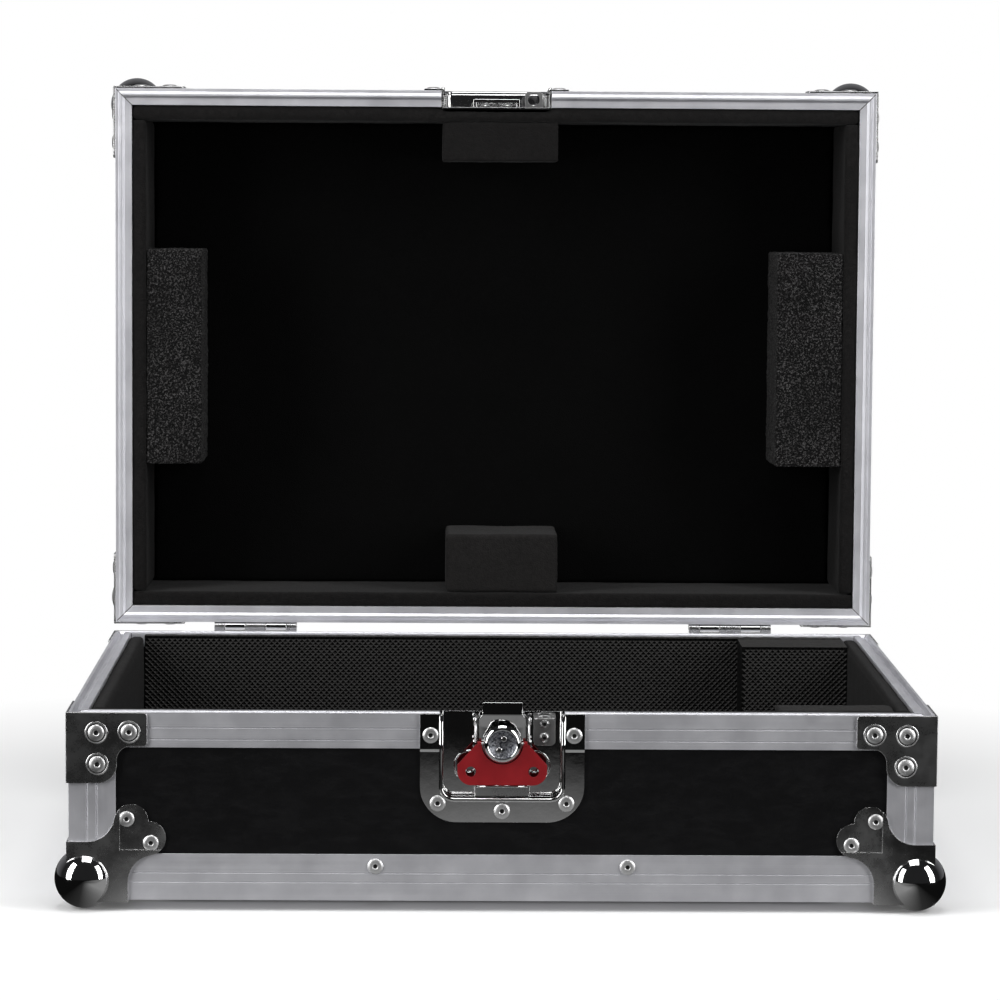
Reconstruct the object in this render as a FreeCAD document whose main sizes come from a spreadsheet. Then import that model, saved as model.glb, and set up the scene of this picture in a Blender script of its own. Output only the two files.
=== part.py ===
"""Flight case for a tabletop disc player: ply shell in aluminium edging, stop hinges, recessed latch."""
import FreeCAD, Part
import math
import os
import Sketcher
from FreeCAD import Placement, Rotation, Vector

# Driving sizes in millimetres; the lid's opening is in degrees, and a name ending in share is a share.
SIZES = {
    # Shell, measured over the edging; each half is measured from the rim plane
    "case_width": 552,
    "case_depth": 388,
    "base_height": 121,
    "lid_height": 103,
    "lid_open_angle": 91.5,
    "rim_gap": 0.3,
    "panel_thick": 9,
    # Double-angle edging with two shallow lines along each leg
    "edging_wall": 1.5,
    "edging_leg": 30,
    "line_near": 11.8,
    "line_far": 17.8,
    "line_width": 0.8,
    "line_sink": 0.3,
    # Hybrid rim extrusions: a valley on the base, a ridge on the lid
    "rim_leg": 22.5,
    "rim_head": 4,
    "rim_inner_leg": 10,
    "rim_line_near": 9.6,
    "rim_line_far": 17.2,
    "tongue_inset": 2.3,
    "tongue_rise": 1.7,
    "tongue_crest": 1.3,
    "tongue_fall": 1.7,
    "tongue_height": 1.8,
    "tongue_clear": 0.4,
    # Rim corner brackets
    "bracket_thick": 1.5,
    "bracket_reach": 50.2,
    "bracket_band": 21.7,
    "bracket_drop": 45.5,
    "bracket_leg": 31,
    "bracket_hollow": 9,
    "bracket_round": 12,
    "bracket_tip_round": 2.5,
    # Ball corners
    "ball_radius": 19.4,
    "ball_inset": 9.5,
    "ball_rise": 12.5,
    "plate_thick": 1.5,
    "plate_reach": 37.6,
    "lobe_near": 40,
    "lobe_far": 51,
    "lobe_radius": 10.9,
    "hollow_radius": 18,
    "step_place": 31,
    # Foam
    "liner_thick": 12,
    "liner_drop": 0.5,
    "pad_thick": 10,
    "pocket_clear": 0.8,
    "rear_block_long": 76,
    "rear_block_deep": 44,
    "front_block_deep": 27,
    "lid_block_drop": 2,
    "lid_side_block_long": 156,
    "lid_left_block_wide": 40,
    "lid_right_block_wide": 48,
    "lid_front_block_long": 84,
    "lid_front_block_deep": 28.4,
    "lid_rear_block_long": 82,
    "lid_rear_block_deep": 43,
    "lid_block_shift": 3,
    # Stop hinges
    "hinge_side": 102,
    "hinge_width": 60,
    "hinge_end": 7.5,
    "barrel_radius": 3.4,
    "barrel_clear": 0.1,
    "barrel_rise": 3,
    "knuckle_gap": 0.2,
    "leaf_thick": 1.5,
    "leaf_height": 21,
    "leaf_relief": 0.5,
    "hinge_pin_radius": 1.5,
    "running_clear": 0.05,
    "stop_reach": 8,
    "stop_height": 3,
    # Recessed latch, both halves of its dish
    "sheet": 1.2,
    "dish_flange_wide": 105,
    "dish_flange_high": 70,
    "dish_flange_round": 23.6,
    "dish_wide": 76.6,
    "dish_high": 55,
    "dish_round": 8,
    "dish_deep": 12,
    "dish_slot_clear": 0.5,
    "joggle_clear": 0.3,
    "joggle_fall": 1.8,
    # Guide channel
    "guide_wide": 34.2,
    "guide_top": 3,
    "guide_bottom": 53.2,
    "guide_deep": 9,
    "guide_lip": 6.6,
    "guide_lip_deep": 10,
    # Hub and its cam
    "hub_drop": 19.1,
    "hub_proud": 3.2,
    "hub_disc_radius": 12.1,
    "hub_disc_thick": 1.8,
    "hub_bevel": 0.9,
    "hub_neck_radius": 5.5,
    "hub_shaft_radius": 4,
    "hub_tail_radius": 6.5,
    "hub_tail_thick": 1,
    "cam_radius": 6,
    "cam_throw": 1.5,
    "cam_start": 3.2,
    "cam_thick": 5,
    "cam_clear": 0.4,
    # Wing and its pin
    "wing_thick": 1.6,
    "wing_proud": 1.2,
    "wing_notch_radius": 13.2,
    "wing_ear_half": 15.9,
    "wing_ear_rise": 0.5,
    "wing_half": 28.6,
    "wing_shoulder": 13.7,
    "wing_elbow": 17.7,
    "wing_foot_half": 19.6,
    "wing_foot": 26.7,
    "wing_round": 9,
    "wing_hole_place": 20,
    "wing_hole_drop": 18,
    "wing_hole_radius": 3.35,
    "wing_eye_radius": 1.7,
    "wing_eye_gap": 0.2,
    "wing_pin_radius": 0.9,
    # Hook
    "hook_wide": 30.1,
    "hook_tip_wide": 25.6,
    "hook_deep": 3.6,
    "hook_lean": 2.4,
    "hook_foot": 45,
    "hook_bend_low": 9,
    "hook_bend_high": 2,
    "hook_shoulder": 4,
    "hook_rise": 7.2,
    "hook_lip": 4.2,
    "hook_window_wide": 16,
    # Keeper in the lid
    "keeper_wide": 33.9,
    "keeper_bar_deep": 6,
    "keeper_bar_thick": 2.6,
    "keeper_bar_high": 2.4,
    "keeper_leg": 2.5,
    "keeper_foot": 20,
    # Padlock tabs
    "padlock_place_share": 0.467,
    "padlock_radius": 4.35,
    "padlock_hole_deep": 6.3,
    "padlock_front": 0.6,
    "padlock_round": 3,
    "strap_wide_share": 0.67,
    "strap_foot": 22,
    "strap_tab_drop": 2.5,
    "strap_tab_thick": 1.5,
    "lid_tab_wide_share": 0.6,
    "lid_tab_foot": 22,
    # Recessed spring handles in the base's ends
    "handle_clear": 2.25,
    "handle_flange_side": 13,
    "handle_flange_round": 10,
    "handle_wide": 124,
    "handle_high_share": 0.6875,
    "handle_round": 6,
    "handle_deep": 16.8,
    "bail_radius": 3,
    "bail_half": 52,
    "bail_deep": 8,
    "bail_top_share": 0.21875,
    "bail_bottom_share": 0.15625,
    "bail_bend": 7,
    "bail_tail": 14,
    "grip_radius": 7,
    "grip_long": 84,
    "grip_round": 2,
    # One overrun for every cut
    "overrun": 2,
}

doc = FreeCAD.newDocument("PlayerCase")
sheet = doc.addObject("Spreadsheet::Sheet", "Sizes")
for row, (alias, amount) in enumerate(SIZES.items(), start=1):
    sheet.set("A%d" % row, alias)
    sheet.set("B%d" % row, str(amount))
    sheet.setAlias("B%d" % row, alias)
doc.recompute()


class Size:
    """A number together with the sheet formula that gives it."""

    def __init__(self, number, formula):
        self.number = number
        self.formula = formula

    def __add__(self, other):
        return combine(self, "+", other)

    def __radd__(self, other):
        return combine(other, "+", self)

    def __sub__(self, other):
        return combine(self, "-", other)

    def __rsub__(self, other):
        return combine(other, "-", self)

    def __mul__(self, other):
        return combine(self, "*", other)

    def __rmul__(self, other):
        return combine(other, "*", self)

    def __truediv__(self, other):
        return combine(self, "/", other)

    def __neg__(self):
        return combine(-1, "*", self)


def as_size(value):
    """Any plain number becomes a Size of its own."""
    if isinstance(value, Size):
        return value
    return Size(float(value), "(%r)" % value)


def combine(left, sign, right):
    """One arithmetic step, taken on the numbers and written into the formula."""
    first = as_size(left)
    second = as_size(right)
    if sign == "+":
        number = first.number + second.number
    elif sign == "-":
        number = first.number - second.number
    elif sign == "*":
        number = first.number * second.number
    else:
        number = first.number / second.number
    return Size(number, "(%s %s %s)" % (first.formula, sign, second.formula))


def size(alias):
    """A driving size, read from the sheet."""
    return Size(float(sheet.get(alias)), "Sizes." + alias)


def cosine(angle):
    return Size(math.cos(math.radians(angle.number)), "cos(%s)" % angle.formula)


def sine(angle):
    return Size(math.sin(math.radians(angle.number)), "sin(%s)" % angle.formula)


def tie(thing, path, value):
    """Binds a property to a value's formula."""
    thing.setExpression(path, as_size(value).formula)


def move(thing, x, y, z):
    """Binds a piece's place."""
    for path, value in (("x", x), ("y", y), ("z", z)):
        tie(thing, "Placement.Base." + path, value)


def block(name, low, high):
    """A rectangular block between two corners."""
    box = doc.addObject("Part::Box", name)
    for prop, first, last in zip(("Length", "Width", "Height"), low, high):
        tie(box, prop, as_size(last) - first)
    move(box, *low)
    return box


TURNS = {
    "x": Rotation(Vector(0, 1, 0), 90),
    "y": Rotation(Vector(1, 0, 0), -90),
    "z": Rotation(),
}


def rod(name, start, radius, length, axis):
    """A round rod from a start point along one axis."""
    cylinder = doc.addObject("Part::Cylinder", name)
    cylinder.Placement = Placement(Vector(), TURNS[axis])
    tie(cylinder, "Radius", radius)
    tie(cylinder, "Height", length)
    move(cylinder, *start)
    return cylinder


def cut(name, base, *tools):
    """The base less every tool."""
    result = base
    for number, tool in enumerate(tools):
        step = doc.addObject("Part::Cut", "%s_cut%d" % (name, number))
        step.Base = result
        step.Tool = tool
        step.Refine = True
        result = step
    return result


def fuse(name, *parts):
    joined = doc.addObject("Part::MultiFuse", name + "_joined")
    joined.Shapes = list(parts)
    joined.Refine = True
    return joined


def common(name, *parts):
    shared = doc.addObject("Part::MultiCommon", name + "_shared")
    shared.Shapes = list(parts)
    shared.Refine = True
    return shared


def group(name, *parts):
    """Several separate solids kept as one piece's shape."""
    gathered = doc.addObject("Part::Compound", name + "_group")
    gathered.Links = list(parts)
    return gathered


def turned(name, part, rotation):
    """A turned copy."""
    copy = group(name, part)
    copy.Placement = Placement(Vector(), rotation)
    return copy


def mirror(name, part, normal):
    """A mirrored copy in a plane through the origin."""
    image = doc.addObject("Part::Mirroring", name + "_mirror")
    image.Source = part
    image.Base = Vector()
    image.Normal = normal
    return image


ACROSS = Vector(1, 0, 0)
ALONG = Vector(0, 1, 0)
UPRIGHT = Vector(0, 0, 1)


def quartet(name, corner):
    """A corner piece and its three mirror images."""
    right = mirror(name + "_right", corner, ACROSS)
    rear = mirror(name + "_rear", corner, ALONG)
    rear_right = mirror(name + "_rear_right", rear, ACROSS)
    return group(name, corner, right, rear, rear_right)


def origin_plane(body, role):
    for feature in body.Origin.OriginFeatures:
        if feature.Role == role:
            return feature
    raise RuntimeError("no plane " + role)


def arc_centre(start, end, radius, turn):
    """The centre of the shorter arc between two points, anticlockwise where turn is 1."""
    chord = end - start
    half = chord.Length / 2
    height = math.sqrt(max(radius * radius - half * half, 0))
    middle = (start + end) * 0.5
    side = Vector(-chord.y, chord.x, 0).normalize()
    return middle + side * (height * turn)


def draw(sketch, corners):
    """Closes an outline through corners (x, y), or (x, y, radius, turn) where an arc leaves the corner."""
    points = [Vector(as_size(c[0]).number, as_size(c[1]).number, 0) for c in corners]
    ends = []
    for index, corner in enumerate(corners):
        start = points[index]
        end = points[(index + 1) % len(points)]
        if len(corner) == 2:
            ends.append((sketch.addGeometry(Part.LineSegment(start, end), False), 1, 2))
            continue
        radius = as_size(corner[2])
        centre = arc_centre(start, end, radius.number, corner[3])
        first, last = (start, end) if corner[3] > 0 else (end, start)
        angles = [math.atan2(p.y - centre.y, p.x - centre.x) for p in (first, last)]
        circle = Part.Circle(centre, UPRIGHT, radius.number)
        arc = sketch.addGeometry(Part.ArcOfCircle(circle, *angles), False)
        ends.append((arc, 1, 2) if corner[3] > 0 else (arc, 2, 1))
        limit = sketch.addConstraint(Sketcher.Constraint("Radius", arc, radius.number))
        sketch.setExpression("Constraints[%d]" % limit, radius.formula)
    for index, corner in enumerate(corners):
        line, start, _ = ends[index]
        before, _, end = ends[index - 1]
        sketch.addConstraint(Sketcher.Constraint("Coincident", before, end, line, start))
        for kind, axis, value in (("DistanceX", -2, corner[0]), ("DistanceY", -1, corner[1])):
            if not isinstance(value, Size):
                sketch.addConstraint(Sketcher.Constraint("PointOnObject", line, start, axis))
                continue
            limit = sketch.addConstraint(Sketcher.Constraint(kind, -1, 1, line, start, value.number))
            sketch.setExpression("Constraints[%d]" % limit, value.formula)


def prism(name, plane, corners, start, length):
    """An outline on a main plane, drawn out along that plane's axis from start."""
    body = doc.addObject("PartDesign::Body", name + "_body")
    sketch = body.newObject("Sketcher::SketchObject", name + "_outline")
    sketch.AttachmentSupport = (origin_plane(body, plane + "_Plane"), [""])
    sketch.MapMode = "FlatFace"
    begin = as_size(start)
    place = -(begin + length) if plane == "XZ" else begin
    tie(sketch, "AttachmentOffset.Base.z", place)
    draw(sketch, corners)
    pad = body.newObject("PartDesign::Pad", name + "_pad")
    pad.Profile = sketch
    tie(pad, "Length", length)
    return body


def spun(name, outline, centre, axis):
    """An outline of (distance along the axis, radius) points, spun about a Y line through centre."""
    body = doc.addObject("PartDesign::Body", name + "_body")
    sketch = body.newObject("Sketcher::SketchObject", name + "_outline")
    sketch.AttachmentSupport = (origin_plane(body, "XY_Plane"), [""])
    sketch.MapMode = "FlatFace"
    draw(sketch, [(radius, along) for along, radius in outline])
    turn = body.newObject("PartDesign::Revolution", name + "_turn")
    turn.Profile = sketch
    turn.ReferenceAxis = (sketch, [axis])
    turn.Angle = 360
    move(body, *centre)
    return body


# Sizes that follow from the driving ones
HALF_WIDE = size("case_width") / 2
HALF_DEEP = size("case_depth") / 2
WALL = size("edging_wall")
PANEL = size("panel_thick")
SHEET = size("sheet")
OVERRUN = size("overrun")
PANEL_BACK = WALL + PANEL
HEAD_WIDE = PANEL_BACK + WALL
LINER_BACK = PANEL_BACK + size("liner_thick")
RIM_HIGH = size("ball_radius") - size("ball_rise") + size("base_height")
HINGE_OFF = size("barrel_radius") + size("barrel_clear")
HINGE_Y = HALF_DEEP + HINGE_OFF
HINGE_Z = RIM_HIGH + size("barrel_rise")
LID_HIGH = RIM_HIGH + size("rim_gap")
HINGE_PLACE = HALF_WIDE - size("hinge_side")
SPREAD = {"base": size("base_height"), "lid": size("lid_height")}
EDGE_TOP = size("edging_leg") - size("base_height")
HANDLE_MIDDLE = (EDGE_TOP - size("rim_leg")) / 2
HANDLE_FLANGE = -EDGE_TOP - size("rim_leg") - size("handle_clear") * 2
HANDLE_HALF = HANDLE_FLANGE * size("handle_high_share") / 2
BAIL_TOP = HANDLE_MIDDLE + HANDLE_FLANGE * size("bail_top_share")
BAIL_LOW = HANDLE_MIDDLE - HANDLE_FLANGE * size("bail_bottom_share")

pieces = []


def keep(piece, name, half):
    """Names a finished piece and places it with its half: the base stands, the lid is open."""
    if half == "base":
        piece = group(name, piece)
        move(piece, 0, 0, RIM_HIGH)
    else:
        piece = mirror(name, piece, UPRIGHT)
        lid_turn = size("lid_open_angle")
        drop = LID_HIGH - HINGE_Z
        piece.Placement = Placement(Vector(), Rotation(ACROSS, -lid_turn.number))
        tie(piece, "Placement.Rotation.Angle", -lid_turn)
        across = HINGE_Y - HINGE_Y * cosine(lid_turn) + drop * sine(lid_turn)
        above = HINGE_Z + HINGE_Y * sine(lid_turn) + drop * cosine(lid_turn)
        move(piece, 0, across, above)
    piece.Label = name
    pieces.append(piece)
    return piece


def front(deep):
    """The Y place of a depth below the front edging's outer face."""
    return deep - HALF_DEEP


def grooved(near, far, sign, outer, inward):
    """Corner points of the two shallow lines along a leg's outer face, walked away from the near one."""
    half_line = size("line_width") / 2
    points = []
    for place in (near, far):
        first = sign * (place - half_line)
        last = sign * (place + half_line)
        points += [(outer, first), (inward, first), (inward, last), (outer, last)]
    return points


# Ply panels

def make_panels(half):
    """Floor or top board and the four walls that stand on it, up to the rim extrusion's head."""
    floor_low = WALL - SPREAD[half]
    floor_high = floor_low + PANEL
    wide = HALF_WIDE - WALL
    deep = HALF_DEEP - WALL
    wall_top = -size("rim_head")
    board = block(half + "_board", (-wide, -deep, floor_low), (wide, deep, floor_high))
    keep(board, half + ("_floor_panel" if half == "base" else "_top_panel"), half)
    rear = block(half + "_rear", (-wide, deep - PANEL, floor_high), (wide, deep, wall_top))
    keep(rear, half + "_rear_panel", half)
    front_board = block(half + "_front", (-wide, -deep, floor_high), (wide, PANEL - deep, wall_top))
    opening_half = size("dish_wide") / 2 + SHEET + size("dish_slot_clear")
    opening = block(
        half + "_latch_opening",
        (-opening_half, -deep - OVERRUN, -size("dish_high") - SHEET - size("dish_slot_clear")),
        (opening_half, PANEL - deep + OVERRUN, OVERRUN),
    )
    keep(cut(half + "_front", front_board, opening), half + "_front_panel", half)
    for side, name in ((-1, "left"), (1, "right")):
        low = (-wide, PANEL - deep, floor_high)
        high = (PANEL - wide, deep - PANEL, wall_top)
        end_board = block("%s_%s" % (half, name), low, high)
        if half == "base":
            end_board = cut(half + name, end_board, handle_opening())
        if side > 0:
            end_board = mirror("%s_%s" % (half, name), end_board, ACROSS)
        keep(end_board, "%s_%s_panel" % (half, name), half)


def handle_opening():
    """The hole that the handle dish drops into, in the left end board."""
    wide = size("bail_half") + size("bail_tail") + size("pocket_clear")
    high = HANDLE_HALF + SHEET + size("dish_slot_clear")
    return block(
        "handle_opening",
        (-HALF_WIDE - OVERRUN, -wide, HANDLE_MIDDLE - high),
        (PANEL_BACK + OVERRUN - HALF_WIDE, wide, HANDLE_MIDDLE + high),
    )


# Aluminium edging

def mitred(name, outline, run, width, low, high):
    """A straight extrusion along X at the front edge, with its ends cut at 45 degrees."""
    long = run + OVERRUN
    short = run - width - OVERRUN
    bar = prism(name, "YZ", outline, -long, long * 2)
    ends = doc.addObject("Part::Wedge", name + "_mitre")
    limits = {
        "Xmin": -long,
        "Xmax": long,
        "X2min": -short,
        "X2max": short,
        "Ymin": outline[0][0] - OVERRUN,
        "Ymax": outline[0][0] + width + OVERRUN,
        "Zmin": low,
        "Zmax": high,
        "Z2min": low,
        "Z2max": high,
    }
    for prop, value in limits.items():
        tie(ends, prop, value)
    return common(name, bar, ends)


def edge_outline(offset, spread):
    """Double angle under an outer edge, from the corner along both outer faces."""
    leg = size("edging_leg")
    sink = size("line_sink")
    near = size("line_near")
    far = size("line_far")
    under = [(x - offset, y - spread) for y, x in grooved(near, far, 1, 0, sink)]
    outside = [(x - offset, y - spread) for x, y in grooved(near, far, 1, 0, sink)]
    outside.reverse()
    return (
        [(-offset, -spread)]
        + under
        + [
            (leg - offset, -spread),
            (leg - offset, WALL - spread),
            (WALL - offset, WALL - spread),
            (WALL - offset, leg - spread),
            (-offset, leg - spread),
        ]
        + outside
    )


def make_edging(half):
    """Four mitred lengths round the outer edge and four upright corner angles."""
    spread = SPREAD[half]
    leg = size("edging_leg")
    low = -spread - OVERRUN
    high = leg - spread + OVERRUN
    name = half + "_edging"
    front_bar = mitred(name + "_front", edge_outline(HALF_DEEP, spread), HALF_WIDE, leg, low, high)
    rear_bar = mirror(name + "_rear", front_bar, ALONG)
    end_bar = mitred(name + "_end", edge_outline(HALF_WIDE, spread), HALF_DEEP, leg, low, high)
    left_bar = turned(name + "_left", end_bar, Rotation(UPRIGHT, -90))
    right_bar = mirror(name + "_right", left_bar, ACROSS)
    top = -size("rim_leg")
    bottom = leg - spread
    sink = size("line_sink")
    lines = grooved(size("line_near"), size("line_far"), 1, 0, sink)
    along_front = [(y - HALF_WIDE, x - HALF_DEEP) for x, y in lines]
    along_end = [(x - HALF_WIDE, y - HALF_DEEP) for x, y in lines]
    along_end.reverse()
    outline = (
        [(-HALF_WIDE, -HALF_DEEP)]
        + along_front
        + [
            (leg - HALF_WIDE, -HALF_DEEP),
            (leg - HALF_WIDE, WALL - HALF_DEEP),
            (WALL - HALF_WIDE, WALL - HALF_DEEP),
            (WALL - HALF_WIDE, leg - HALF_DEEP),
            (-HALF_WIDE, leg - HALF_DEEP),
        ]
        + along_end
    )
    upright = prism(name + "_upright", "XY", outline, bottom, top - bottom)
    uprights = quartet(name + "_uprights", upright)
    keep(group(name, front_bar, rear_bar, left_bar, right_bar, uprights), name, half)


def rim_outline(half, offset):
    """Hybrid extrusion over the panel's edge: outer leg, head with valley or ridge, short inner leg."""
    inset = size("tongue_inset")
    crest = inset + size("tongue_rise")
    slope = crest + size("tongue_crest")
    far = slope + size("tongue_fall")
    if half == "base":
        gap = size("tongue_clear")
        depth = -size("tongue_height") - gap
        shape = [(inset - gap, 0), (crest - gap, depth), (slope + gap, depth), (far + gap, 0)]
    else:
        height = size("tongue_height")
        shape = [(inset, 0), (crest, height), (slope, height), (far, 0)]
    lines = grooved(size("rim_line_near"), size("rim_line_far"), -1, 0, size("line_sink"))
    lines.reverse()
    corners = (
        [(0, 0)]
        + shape
        + [
            (HEAD_WIDE, 0),
            (HEAD_WIDE, -size("rim_inner_leg")),
            (PANEL_BACK, -size("rim_inner_leg")),
            (PANEL_BACK, -size("rim_head")),
            (WALL, -size("rim_head")),
            (WALL, -size("rim_leg")),
            (0, -size("rim_leg")),
        ]
        + lines
    )
    return [(x - offset, y) for x, y in corners]


def make_rims(half):
    """Four mitred rim extrusions; the front one stops each side of the latch dish."""
    low = -size("rim_leg") - OVERRUN
    name = half + "_rim"
    high = OVERRUN * 2
    front_bar = mitred(name + "_front", rim_outline(half, HALF_DEEP), HALF_WIDE, HEAD_WIDE, low, high)
    rear_bar = mirror(name + "_rear", front_bar, ALONG)
    gap_half = size("dish_wide") / 2 + SHEET + size("dish_slot_clear")
    gap = block(
        name + "_gap",
        (-gap_half, front(-OVERRUN), low),
        (gap_half, front(HEAD_WIDE + OVERRUN), high),
    )
    keep(cut(name + "_front", front_bar, gap), half + "_front_rim", half)
    keep(rear_bar, half + "_rear_rim", half)
    end_bar = mitred(name + "_end", rim_outline(half, HALF_WIDE), HALF_DEEP, HEAD_WIDE, low, high)
    left_bar = turned(name + "_left", end_bar, Rotation(UPRIGHT, -90))
    right_bar = mirror(name + "_right", left_bar, ACROSS)
    keep(left_bar, half + "_left_rim", half)
    keep(right_bar, half + "_right_rim", half)


# Corner hardware

def make_rim_brackets(half):
    """Two-faced corner brackets over the rim's mitres."""
    thick = size("bracket_thick")
    reach = size("bracket_reach")
    band = size("bracket_band")
    leg = size("bracket_leg")
    hollow = size("bracket_hollow")
    bend = size("bracket_round")
    tip = size("bracket_tip_round")
    drop = size("bracket_drop")
    outline = [
        (-thick, 0),
        (-thick, -drop),
        (leg - bend, -drop, bend, 1),
        (leg, bend - drop),
        (leg, -band - hollow, hollow, -1),
        (leg + hollow, -band),
        (reach - tip, -band, tip, 1),
        (reach, tip - band),
        (reach, -tip, tip, 1),
        (reach - tip, 0),
    ]
    name = half + "_bracket"
    placed = [(corner[0] - HALF_WIDE,) + corner[1:] for corner in outline]
    face = prism(name + "_front", "XZ", placed, front(-thick), thick)
    turned_outline = [(corner[0] - HALF_DEEP,) + corner[1:] for corner in outline]
    side = prism(name + "_end", "YZ", turned_outline, -HALF_WIDE - thick, thick)
    keep(quartet(name, fuse(name, face, side)), half + "_rim_brackets", half)


def lobed_plate(name):
    """One face of a ball corner, from its corner at the origin: two rivet lobes and hollow flanks."""
    thick = size("plate_thick")
    reach = size("plate_reach")
    near = size("lobe_near")
    far = size("lobe_far")
    lobe = size("lobe_radius")
    hollow = size("hollow_radius")
    hollow_high = reach + hollow
    rise = far - hollow_high
    run = ((hollow + lobe).number ** 2 - rise.number ** 2) ** 0.5
    span = "sqrt((%s)^2 - (%s)^2)" % ((hollow + lobe).formula, rise.formula)
    hollow_place = near - Size(run, span)
    outline = [
        (-thick, -thick),
        (reach, -thick),
        (reach, hollow_place),
        (hollow_high, hollow_place),
        (far, near),
        (near, far),
        (hollow_place, hollow_high),
        (hollow_place, reach),
        (-thick, reach),
    ]
    root = prism(name + "_root", "XZ", outline, -thick, thick * 2)
    lobes = [
        rod(name + "_lobe_a", (near, -thick, far), lobe, thick * 2, "y"),
        rod(name + "_lobe_b", (far, -thick, near), lobe, thick * 2, "y"),
    ]
    under = -thick - OVERRUN
    through = (thick + OVERRUN) * 2
    hollows = [
        rod(name + "_hollow_a", (hollow_place, under, hollow_high), hollow, through, "y"),
        rod(name + "_hollow_b", (hollow_high, under, hollow_place), hollow, through, "y"),
    ]
    full = cut(name, fuse(name, root, *lobes), *hollows)
    step = size("step_place")
    far_side = far + lobe + OVERRUN
    under_side = block(name + "_seat_a", (under, 0, under), (far_side, -under, step))
    under_end = block(name + "_seat_b", (under, 0, under), (step, -under, far_side))
    rise_cut = block(name + "_step", (step + thick, under, step + thick), (far_side, 0, far_side))
    return cut(name + "_stepped", full, under_side, under_end, rise_cut)


def make_ball_corners(half):
    """A hollowed ball over each outer corner, with a lobed plate down each of the three faces."""
    name = half + "_ball"
    radius = size("ball_radius")
    inset = size("ball_inset")
    ball = doc.addObject("Part::Sphere", name)
    tie(ball, "Radius", radius)
    move(ball, inset, inset, size("ball_rise"))
    span = radius * 2
    corner = block(name + "_corner", (0, 0, 0), (span, span, span))
    outer = cut(name, ball, corner)
    face = lobed_plate(name + "_plate")
    diagonal = Vector(1, 1, 1)
    under = turned(name + "_under", face, Rotation(diagonal, 120))
    end = turned(name + "_end", face, Rotation(diagonal, 240))
    piece = fuse(name + "_whole", outer, face, under, end)
    placed = group(name + "_placed", piece)
    move(placed, -HALF_WIDE, -HALF_DEEP, -SPREAD[half])
    keep(quartet(name, placed), half + "_ball_corners", half)


# Foam

def liner(name, low, high, rebate_low, rebate_high):
    """A wall liner, cut back where the rim's inner leg comes down over the panel."""
    return cut(name, block(name + "_foam", low, high), block(name + "_rebate", rebate_low, rebate_high))


def make_foam(half):
    """Board pad and four wall liners."""
    spread = SPREAD[half]
    pad_low = PANEL_BACK - spread
    pad_high = pad_low + size("pad_thick")
    top = -size("liner_drop")
    wide = HALF_WIDE - PANEL_BACK
    deep = HALF_DEEP - PANEL_BACK
    thick = size("liner_thick")
    leg_wide = HALF_WIDE - HEAD_WIDE
    leg_deep = HALF_DEEP - HEAD_WIDE
    leg_low = -size("rim_inner_leg")
    pad = block(half + "_pad", (thick - wide, thick - deep, pad_low), (wide - thick, deep - thick, pad_high))
    if half == "base":
        pad = cut(half + "_pad", pad, *block_footprints())
    keep(pad, half + "_board_pad", half)
    name = half + "_front_liner"
    front_liner = liner(
        name,
        (-wide, -deep, pad_low),
        (wide, thick - deep, top),
        (-wide - OVERRUN, -deep - OVERRUN, leg_low),
        (wide + OVERRUN, -leg_deep, OVERRUN),
    )
    pocket_half = size("dish_wide") / 2 + SHEET + size("pocket_clear")
    pocket_low = -size("dish_high") - SHEET - size("pocket_clear")
    pocket_back = size("dish_deep") + SHEET + size("hub_tail_thick") + size("pocket_clear")
    pocket = block(
        name + "_pocket",
        (-pocket_half, -deep - OVERRUN, pocket_low),
        (pocket_half, front(pocket_back), OVERRUN),
    )
    ends = [
        block(
            name + "_end%d" % side,
            (side * leg_wide if side > 0 else -wide - OVERRUN, -deep - OVERRUN, leg_low),
            (wide + OVERRUN if side > 0 else -leg_wide, thick - deep + OVERRUN, OVERRUN),
        )
        for side in (-1, 1)
    ]
    keep(cut(name + "_fitted", front_liner, pocket, *ends), name, half)
    name = half + "_rear_liner"
    rear_liner = liner(
        name,
        (-wide, deep - thick, pad_low),
        (wide, deep, top),
        (-wide - OVERRUN, leg_deep, leg_low),
        (wide + OVERRUN, deep + OVERRUN, OVERRUN),
    )
    rear_ends = [
        block(
            name + "_end%d" % side,
            (side * leg_wide if side > 0 else -wide - OVERRUN, deep - thick - OVERRUN, leg_low),
            (wide + OVERRUN if side > 0 else -leg_wide, deep + OVERRUN, OVERRUN),
        )
        for side in (-1, 1)
    ]
    keep(cut(name + "_fitted", rear_liner, *rear_ends), name, half)
    for side, word in ((-1, "left"), (1, "right")):
        name = "%s_%s_liner" % (half, word)
        end_liner = liner(
            name,
            (-wide, thick - deep, pad_low),
            (thick - wide, deep - thick, top),
            (-wide - OVERRUN, -deep, leg_low),
            (-leg_wide, deep, OVERRUN),
        )
        if half == "base":
            end_liner = cut(name + "_fitted", end_liner, handle_pocket())
        if side > 0:
            end_liner = mirror(name, end_liner, ACROSS)
        keep(end_liner, name, half)


def handle_pocket():
    """Room for the handle dish in the left liner."""
    gap = SHEET + size("pocket_clear")
    wide = size("bail_half") + size("bail_tail") + size("pocket_clear")
    high = HANDLE_HALF + gap
    return block(
        "handle_pocket",
        (-HALF_WIDE, -wide, HANDLE_MIDDLE - high),
        (size("handle_deep") + gap - HALF_WIDE, wide, HANDLE_MIDDLE + high),
    )


def base_blocks(label, low, high):
    """The rear and front blocks of the base between two heights."""
    right = HALF_WIDE - LINER_BACK
    deep = HALF_DEEP - LINER_BACK
    left = right - size("rear_block_long")
    rear_edge = deep - size("rear_block_deep")
    front_edge = size("front_block_deep") - deep
    return [
        block("base_rear_" + label, (left, rear_edge, low), (right, deep, high)),
        block("base_front_" + label, (left, -deep, low), (right, front_edge, high)),
    ]


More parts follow.
